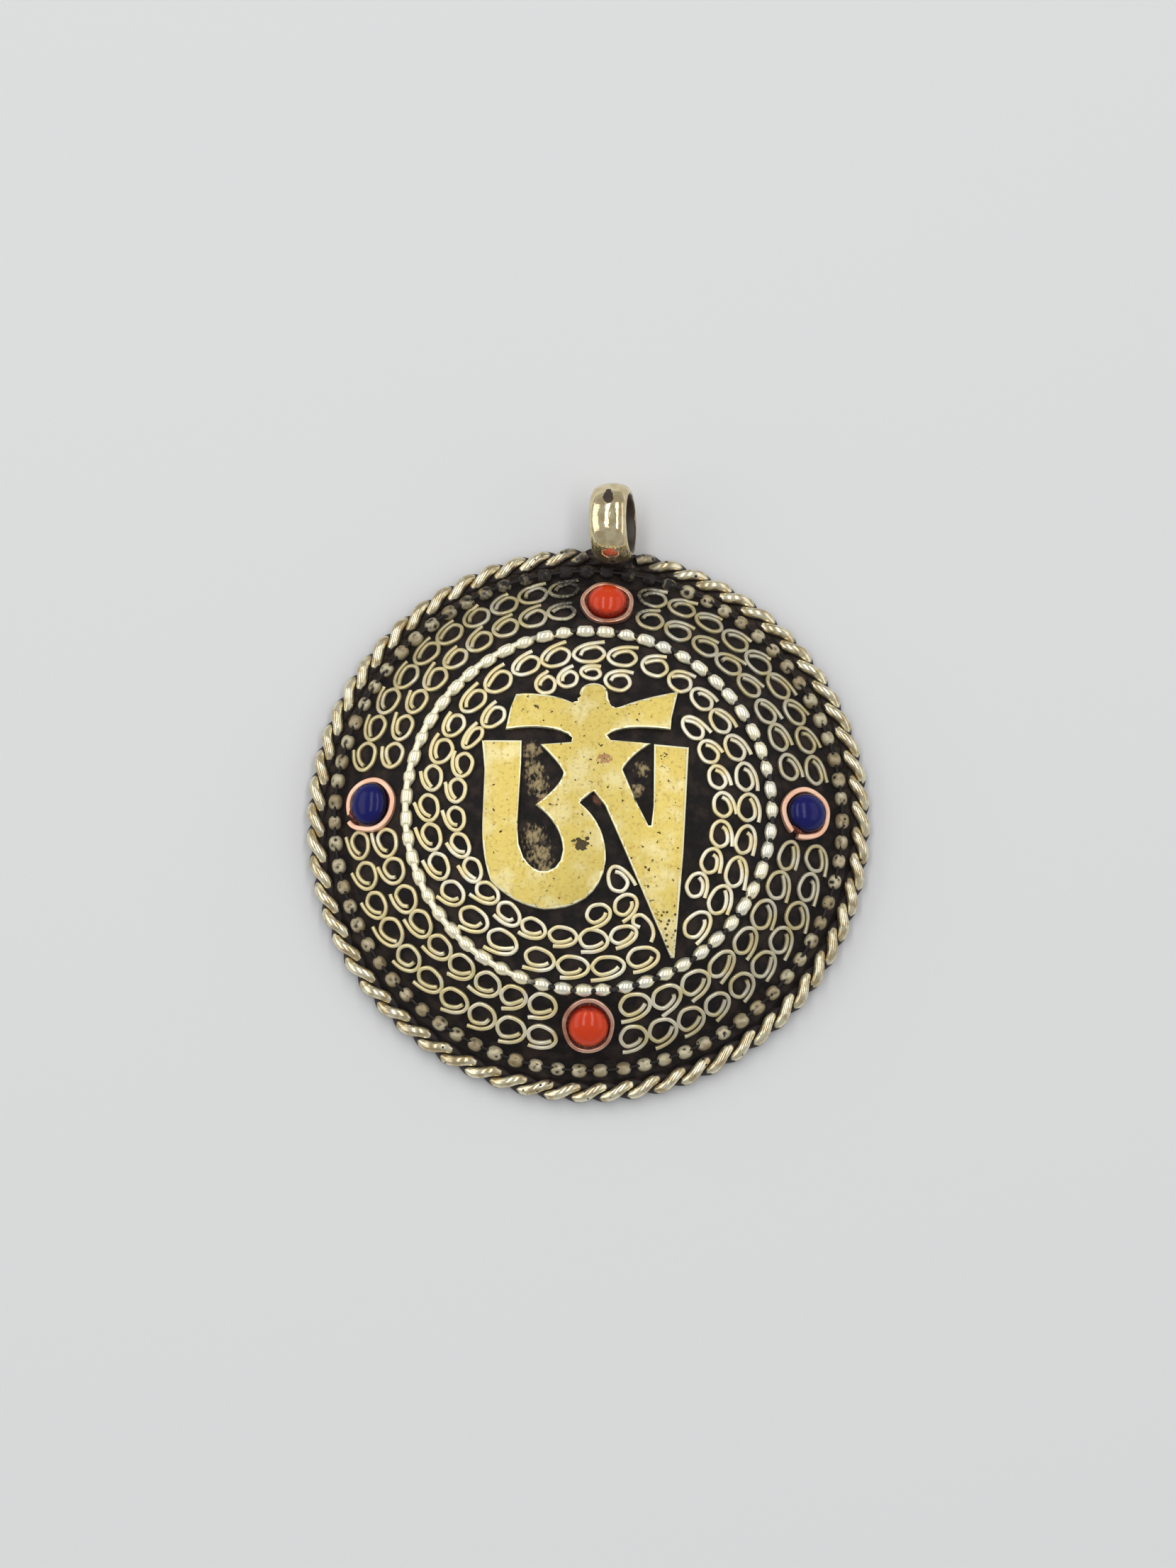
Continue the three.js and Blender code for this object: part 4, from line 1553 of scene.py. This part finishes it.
@dataclass(frozen=True)
class OmPlate:
    """The om sign, sawn from sheet brass, formed over the crown and filed round at its edges."""

    centre: Place = (-0.25, -1.25)
    seat: float = 0.1
    thickness: float = 0.65
    edge: float = 0.12
    extent: float = 17.0
    grid: float = 0.5
    grid_start: float = 0.37
    curve_steps: int = 8
    outline: Sequence[Place] = (
        # Upper edge of the crescent, with the drop that stands on it
        (-8.67, 8.97), (-8.26, 11.39), (-7.73, 12.91), (-4.2, 13.2, -1.7, 11.98),
        (-1.05, 12.1, -1.13, 13.24), (-0.9, 14.6, 1.6, 14.7, 1.8, 13.2), (1.85, 11.8, 2.69, 11.57),
        (5.39, 12.9, 9.1, 13.8),
        # Lower edge of the crescent, down to the neck
        (8.49, 10.77), (8.43, 9.57), (3.2, 9.95, 1.85, 8.58), (2.12, 8.1),
        # Slot between the waist and the upright
        (6.38, 7.91), (4.4, 6.6, 3.56, 5.01), (4.98, 1.86), (6.4, -0.74), (6.68, -0.73),
        (6.86, 1.32), (6.73, 7.88),
        # Upright, its foot and the slanting stroke
        (10.36, 7.75), (10.09, -3.37), (9.54, -13.99), (9.15, -14.0), (6.94, -9.47), (1.88, 1.15),
        (0.65, 2.6),
        # Outside of the lower bowl
        (-0.77, 1.35), (2.1, -0.8, 2.17, -4.45), (1.9, -8.2, -0.9, -9.66, -4.01, -9.66),
        (-7.2, -9.3, -9.58, -6.86), (-10.6, -4.4, -10.66, -1.09), (-10.67, 4.71), (-11.07, 7.8),
        # Inside of the bowls
        (-6.93, 7.8), (-6.89, 5.64), (-7.04, -1.17), (-7.0, -7.0, -2.3, -6.9, -2.27, -3.6),
        (-2.5, -0.9, -5.26, 1.0), (-2.7, 3.0, -2.5, 4.4), (-2.7, 5.2, -4.99, 7.41), (-1.68, 7.73),
        # Neck and underside of the crescent's left arm
        (-1.6, 8.23), (-4.0, 9.9, -8.67, 8.97),
    )

    def build(self) -> None:
        """Builds the plate."""
        piece = Workpiece()
        shape = piece.shape
        verts = [shape.verts.new((x, y, 0.0)) for x, y in self._points()]
        shape.faces.new(verts)
        self._cut_grid(shape)
        top = self._level(self.seat + self.thickness)
        foot = self._level(self.seat)
        under = bmesh.ops.duplicate(shape, geom=shape.verts[:] + shape.edges[:] + shape.faces[:])["geom"]
        below = {item for item in under if isinstance(item, bmesh.types.BMVert)}
        for vertex in shape.verts:
            # Boundary vertices get the painted edge highlight
            vertex[piece.wear_and_light] = 0.0 if vertex.is_boundary else 1.0
        rim = [edge for edge in shape.edges if edge.is_boundary and edge.verts[0] not in below]
        outward = self._outward(rim)
        inner = {vertex: vertex.co - outward[vertex] * self.edge for vertex in outward}
        self._wall(piece, rim, outward, top, foot)
        for vertex, place in inner.items():
            vertex.co = place
        for vertex in shape.verts:
            if not vertex.tag:
                level = foot if vertex in below else top
                vertex.co = level(vertex.co)
        bmesh.ops.remove_doubles(shape, verts=shape.verts, dist=1e-3)
        piece.publish("om_sign", ["om_plate"], WornBrass().material(), 45)

    def _points(self) -> list[Place]:
        """Draws out the curves of the outline.

        Returns:
            X and y of each point.
        """
        x0, y0 = self.centre
        corners = []
        last = Vector(self.outline[0])
        for entry in self.outline:
            handles = [last, *(Vector(entry[i : i + 2]) for i in range(0, len(entry), 2))]
            steps = 1 if len(handles) == 2 else self.curve_steps
            for step in range(1, steps + 1):
                corners.append(self._along(handles, step / steps))
            last = handles[-1]
        return [(corner.x + x0, corner.y + y0) for corner in corners[:-1]]

    def _along(self, handles: Sequence[Vector], share: float) -> Vector:
        """Finds a point on a curve.

        Args:
            handles: The curve's two ends, with its handles between them.
            share: How far along, from 0 to 1.

        Returns:
            The point.
        """
        while len(handles) > 1:
            handles = [a.lerp(b, share) for a, b in zip(handles, handles[1:])]
        return handles[0]

    def _cut_grid(self, shape: bmesh.types.BMesh) -> None:
        """Cuts the flat sign into small faces, so that it can follow the crown.

        Args:
            shape: The flat sign.
        """
        for axis in (Vector((1, 0, 0)), Vector((0, 1, 0))):
            for step in range(round(-self.extent / self.grid), round(self.extent / self.grid)):
                geom = shape.verts[:] + shape.edges[:] + shape.faces[:]
                place = axis * (step + self.grid_start) * self.grid
                bmesh.ops.bisect_plane(shape, geom=geom, plane_co=place, plane_no=axis, dist=1e-4)

    def _level(self, lift: float) -> Callable[[Vector], Vector]:
        """Makes a rule that sets a flat point on the crown, a little unevenly.

        Args:
            lift: How far over the crown.

        Returns:
            The rule.
        """

        def onto(point: Vector) -> Vector:
            """Returns where one point comes to lie."""
            height = DOME.height(math.hypot(point.x, point.y)) + lift
            uneven = 0.02 * lumps(Vector((point.x, point.y, 0)), 1.8)
            return Vector((point.x, point.y, height + uneven - 0.02))

        return onto

    def _outward(self, rim: Sequence[bmesh.types.BMEdge]) -> dict[bmesh.types.BMVert, Vector]:
        """Finds which way is out along the sign's rim.

        Args:
            rim: The rim's edges.

        Returns:
            The outward direction at each vertex.
        """
        outward: dict[bmesh.types.BMVert, Vector] = {}
        for edge in rim:
            face = edge.link_faces[0]
            run = edge.verts[1].co - edge.verts[0].co
            out = Vector((run.y, -run.x, 0)).normalized()
            if out.dot(face.calc_center_median() - edge.verts[0].co) > 0:
                out.negate()
            for vertex in edge.verts:
                outward[vertex] = outward.get(vertex, Vector()) + out
        return {vertex: out.normalized() for vertex, out in outward.items()}

    def _wall(
        self,
        piece: Workpiece,
        rim: Sequence[bmesh.types.BMEdge],
        outward: Mapping[bmesh.types.BMVert, Vector],
        top: Callable[[Vector], Vector],
        foot: Callable[[Vector], Vector],
    ) -> None:
        """Draws the rim out and down, round its upper corner, to the foot of the plate.

        Args:
            piece: The sign's workpiece.
            rim: The rim's edges.
            outward: Which way is out at each vertex.
            top: Rule that sets a flat point on the upper face.
            foot: Rule that sets it on the lower face.
        """
        edges = list(rim)
        origin = {vertex: vertex.co.copy() for vertex in outward}
        # Share of the edge's inset and drop from the upper face. The last one goes to the foot.
        drops = ((0.3, 0.04), (0.0, 0.13), (0.0, None))
        current = {vertex: vertex for vertex in outward}
        for inset, drop in drops:
            verts, edges = extruded(piece.shape, edges)
            fresh = set(verts)
            lookup = {}
            for source, now in current.items():
                for edge in now.link_edges:
                    other = edge.other_vert(now)
                    if other in fresh:
                        lookup[source] = other
            for source, vertex in lookup.items():
                flat = origin[source] - outward[source] * self.edge * inset
                vertex.co = foot(flat) if drop is None else top(flat) - Vector((0, 0, drop))
                # The upper wall rows get the painted edge highlight and the foot row does not
                vertex[piece.wear_and_light] = 0.0 if drop else 0.8
                vertex.tag = True
            current = lookup


# Bail


@dataclass(frozen=True)
class Bail:
    """A fixed half-round band, soldered to the edge of the body and turned a little to one side."""

    outer_radius: float = 4.35
    inner_radius: float = 3.02
    width: float = 4.0
    edge: float = 0.42
    angle: float = 2.7
    distance: float = 31.7
    height: float = 4.45
    twist: float = 10.6
    lean: float = 3.6
    half_steps: int = 9
    turns: int = 96
    solder_distance: float = 28.6
    solder_half_width: float = 3.1
    solder_half_depth: float = 1.2
    solder_height: float = 1.6
    solder_rise: float = 1.0

    def build(self) -> None:
        """Builds the band and the solder round its foot."""
        self._band()
        self._solder()

    def _turned(self) -> Matrix:
        """Returns how the whole bail is turned round the pendant."""
        return rotation(-self.angle, "Z")

    def _stand(self) -> Matrix:
        """Returns the band's frame, whose Z is the axis of its bore."""
        return (
            self._turned()
            @ Matrix.Translation((0, self.distance, self.height))
            @ rotation(self.lean, "Z")
            @ rotation(-self.twist, "Y")
            @ rotation(90, "Y")
        )

    def _band(self) -> None:
        """Spins the half-round band and softens its rims."""
        piece = Workpiece()
        bulge = self.outer_radius - self.inner_radius - self.edge
        half = self.width / 2
        profile = [(self.inner_radius, half - 0.2), (self.inner_radius + 0.14, half - 0.03)]
        for step in range(2 * self.half_steps + 1):
            share = 1 - step / self.half_steps
            side = math.copysign(abs(share) ** 0.9, share)
            rise = self.edge + bulge * math.sqrt(max(1 - side * side, 0.0))
            profile.append((self.inner_radius + rise, side * (half - 0.04 * (1 - abs(share)))))
        profile += [(self.inner_radius + 0.14, 0.03 - half), (self.inner_radius, 0.2 - half)]
        piece.spin(profile, self.turns, closed=True)
        piece.bend(lambda point: point * (1 - 0.006 * abs(lumps(point, 2.2, 4.0))))
        piece.mark_wear_and_light(self._rubbed)
        piece.place(self._stand())
        material = RubbedMetal(
            "bail_brass",
            bright=tone(232, 218, 178),
            warm=tone(210, 190, 146),
            tarnish=tone(64, 52, 40),
            metallic=0.88,
            gloss=0.09,
            patch=1.2,
            grime=1.3,
            speckle=0.3,
            tarnish_high=0.5,
            dents=0.035,
            dark_spots=((0.9, 33.25, 1.0), (0.9, 33.7, 0.8), (0.9, 34.2, 0.5)),
        ).material()
        piece.publish("bail_band", ["bail"], material, 60)

    def _rubbed(self, point: Vector) -> float:
        """Returns how worn a point of the band is, by its own frame, where +Y is away from the body. It falls
        towards the body, which paints shade on the band's foot.
        """
        bore = ease(math.hypot(point.x, point.y) - self.inner_radius, 0.02, 0.35)
        # Painted shade on the band's lower end, where it curves into the solder
        return bore * (1 - 0.5 * ease(-point.y, 0.5, 4.2))

    def _solder(self) -> None:
        """Shapes the dark mass that joins band and body, low and wide with a raised middle."""
        piece = Workpiece()
        bmesh.ops.create_icosphere(piece.shape, subdivisions=5, radius=1.0)
        piece.bend(self._solder_point)
        piece.place(self._turned())
        finish = RubbedMetal("black_solder", tone(96, 84, 74), tone(76, 64, 56), gloss=0.36)
        piece.mark_wear_and_light(lambda point: 0.3 + 0.5 * lumps(point, 0.7))
        piece.publish("bail_joint", ["bail_solder"], finish.material(), 80)

    def _solder_point(self, point: Vector) -> Vector:
        """Moves a point of a ball to where it lies on the solder.

        Args:
            point: A point of the ball.

        Returns:
            Its place, before the turn round the pendant.
        """
        point = point / sum(abs(value) ** 3 for value in point) ** (1 / 3)
        across = point.x * self.solder_half_width
        tall = self.solder_height + self.solder_rise * ease(2.2 - abs(across), 0.0, 1.4)
        rough = 0.2 * lumps(point * 2, 0.7)
        out = self.solder_distance + point.y * (self.solder_half_depth + rough)
        return Vector((across, out, 0.1 + (point.z + 1) / 2 * tall * (0.85 + rough)))


# Studio


@dataclass(frozen=True)
class Studio:
    """Pale floor, soft lamps and the camera."""

    distance: float = 290.0
    tilt: float = 11.3
    roll: float = 2.0
    target: Place = (-0.19, 3.3, 4.0)
    lens: float = 63.4
    window_place: Place = (0.18, 0.125, 0.55)
    window_size: Place = (0.085, 0.85)
    window_radiance: float = 4.4
    wall_place: Place = (0.62, 0.1, 0.35)
    wall_size: Place = (0.35, 1.0)
    wall_radiances: Place = (1.2, 0.8)
    floor_size: float = 3.0
    floor_drop: float = 0.0001
    floor_colour: Colour = tone(220, 220, 220)
    sky: Colour = (0.97, 0.985, 1.0, 1.0)
    sky_strength: float = 0.42

    def build(self) -> None:
        """Sets the camera, the floor, the lamps and the sky."""
        self._camera()
        self._floor()
        self._sky()
        for side, wall_radiance in zip((-1, 1), self.wall_radiances):
            self._lamp("window", side, self.window_place, self.window_size, self.window_radiance)
            self._lamp("wall", side, self.wall_place, self.wall_size, wall_radiance)
        bpy.context.scene.view_settings.view_transform = "Standard"

    def _camera(self) -> None:
        """Sets the camera above the pendant, leaning back towards its lower edge."""
        tilt, roll = math.radians(self.tilt), math.radians(self.roll)
        back = Vector((0, -math.sin(tilt), math.cos(tilt)))
        level, rise = Vector((1, 0, 0)), Vector((0, math.cos(tilt), math.sin(tilt)))
        side = level * math.cos(roll) + rise * math.sin(roll)
        up = rise * math.cos(roll) - level * math.sin(roll)
        data = bpy.data.cameras.new("camera")
        data.lens = self.lens
        data.clip_start = 0.01
        camera = linked("camera", data)
        place = (Vector(self.target) + back * self.distance) * METRES
        camera.matrix_world = frame_at(place, side, up, back)
        bpy.context.scene.camera = camera

    def _floor(self) -> None:
        """Lays the pale floor under the pendant."""
        shape = bmesh.new()
        bmesh.ops.create_grid(shape, x_segments=1, y_segments=1, size=self.floor_size)
        bmesh.ops.translate(shape, vec=(0, 0, -self.floor_drop), verts=shape.verts)
        mesh = bpy.data.meshes.new("floor")
        shape.to_mesh(mesh)
        shape.free()
        recipe = Recipe("floor_paper")
        mesh.materials.append(recipe.finish({"Base Color": self.floor_colour, "Roughness": 0.9}))
        floor = linked("floor", mesh)

    def _lamp(self, kind: str, side: int, place: Place, size: Place, radiance: float) -> None:
        """Hangs a soft lamp that faces the pendant.

        Args:
            kind: What it stands for, which its name starts with.
            side: -1 for the left, 1 for the right.
            place: Its place at the right, in metres.
            size: Its width and length in metres.
            radiance: How bright its face is, where 1 is white.
        """
        name = f"{kind}_{side + 2}"
        data = bpy.data.lights.new(name, "AREA")
        data.shape = "RECTANGLE"
        data.size, data.size_y = size
        data.energy = radiance * math.pi * size[0] * size[1]
        hung = Vector((side * place[0], *place[1:]))
        back = (hung - Vector((0, 0, self.target[2] * METRES))).normalized()
        across = Vector((0, 1, 0)).cross(back).normalized()
        linked(name, data).matrix_world = frame_at(hung, across, back.cross(across), back)

    def _sky(self) -> None:
        """Sets the soft light from all round."""
        world = bpy.data.worlds.new("soft_room")
        world.use_nodes = True
        background = world.node_tree.nodes["Background"]
        background.inputs["Color"].default_value = self.sky
        background.inputs["Strength"].default_value = self.sky_strength
        bpy.context.scene.world = world


BEAD_RINGS = (
    BeadRing(
        name="outer_beads",
        node="outer_bead_border",
        form=BeadForm.BALL,
        radius=26.775,
        drift=0.2,
        count=75,
        length=1.72,
        width=1.52,
        height=1.0,
        wire_radius=0.16,
        wire_worn=0.1,
        wire_left_glare=0.0,
        wire_swell=0.0,
        finish=RubbedMetal(
            "bead_silver",
            bright=tone(194, 184, 154),
            warm=tone(156, 140, 108),
            metallic=0.45,
            gloss=0.4,
            grime=0.8,
            dents=0.06,
            pitted=0.5,
            tarnish_low=0.2,
            tarnish_high=0.7,
        ),
        seed=3,
    ),
    BeadRing(
        name="inner_beads",
        node="inner_bead_ring",
        form=BeadForm.BARREL,
        radius=18.9,
        drift=0.12,
        count=55,
        length=2.08,
        width=1.4,
        height=0.86,
        wire_radius=0.25,
        wire_worn=0.1,
        wire_left_glare=0.9,
        wire_swell=0.5,
        finish=RubbedMetal(
            "barrel_silver",
            bright=tone(240, 236, 218),
            # This warm tone is brighter, as painted glare on the left
            warm=tone(255, 246, 212),
            left_light=0.26,
            metallic=0.66,
            speckle=0.2,
            dents=0.02,
            gloss=0.24,
            tarnish_low=0.1,
            tarnish_high=0.4,
        ),
        seed=5,
    ),
)
LEFT_JOINT = Joint(331.0)
RIGHT_JOINT = Joint(121.0, gape=9.0, flare=0.1)
STONE_SETTINGS = (
    StoneSetting("coral_top", StoneKind.CORAL, 3.0, 22.5, 2.11, 0.21, strip=0.52, seed=1.0),
    StoneSetting("lapis_right", StoneKind.LAPIS, 88.0, 22.4, 2.19, 0.09, RIGHT_JOINT, 0.05, 0.03, seed=2.0),
    StoneSetting(
        "coral_bottom", StoneKind.CORAL, 178.2, 22.0, 2.16, 0.2, None, 0.01, 0.05, strip=0.48, seed=3.0
    ),
    StoneSetting("lapis_left", StoneKind.LAPIS, 270.3, 22.55, 2.23, 0.11, LEFT_JOINT, -0.05, 0.01, seed=4.0),
)


def set_stones() -> None:
    """Builds the four settings: coral in the darker copper, lapis in the paler copper."""
    paler_copper = RubbedMetal(
        "paler_copper",
        bright=tone(250, 206, 176),
        warm=tone(246, 190, 158),
        tarnish=tone(74, 42, 32),
        metallic=0.55,
        speckle=0.25,
        tarnish_low=0.05,
        tarnish_high=0.5,
        gloss=0.34,
    ).material()
    darker_copper = RubbedMetal(
        "darker_copper",
        bright=tone(232, 186, 164),
        warm=tone(196, 134, 108),
        tarnish=tone(66, 40, 33),
        metallic=0.8,
        grime=1.0,
        speckle=0.16,
        tarnish_low=0.2,
        tarnish_high=0.8,
        gloss=0.26,
    ).material()
    cement = Cement().material()
    # The second tone of each stone is its painted shade towards the girdle
    coral = PolishedStone("coral", tone(206, 58, 16), tone(126, 24, 8), tone(222, 84, 30), shine=0.35)
    lapis = PolishedStone(
        "lapis", tone(19, 21, 90), tone(7, 8, 40), tone(28, 33, 110), gloss=0.14, shine=0.22
    )
    dress = {
        StoneKind.CORAL: (darker_copper, coral.material()),
        StoneKind.LAPIS: (paler_copper, lapis.material()),
    }
    for setting in STONE_SETTINGS:
        setting.build(*dress[setting.kind], cement)


def main() -> None:
    """Builds the studio and the pendant."""
    logging.basicConfig(level=logging.INFO, format="%(name)s: %(message)s")
    Studio().build()
    HollowBody().build()
    RopeRim().build()
    for ring in BEAD_RINGS:
        ring.build()
    CurlWork().build()
    set_stones()
    OmPlate().build()
    Bail().build()


if __name__ == "__main__":
    main()
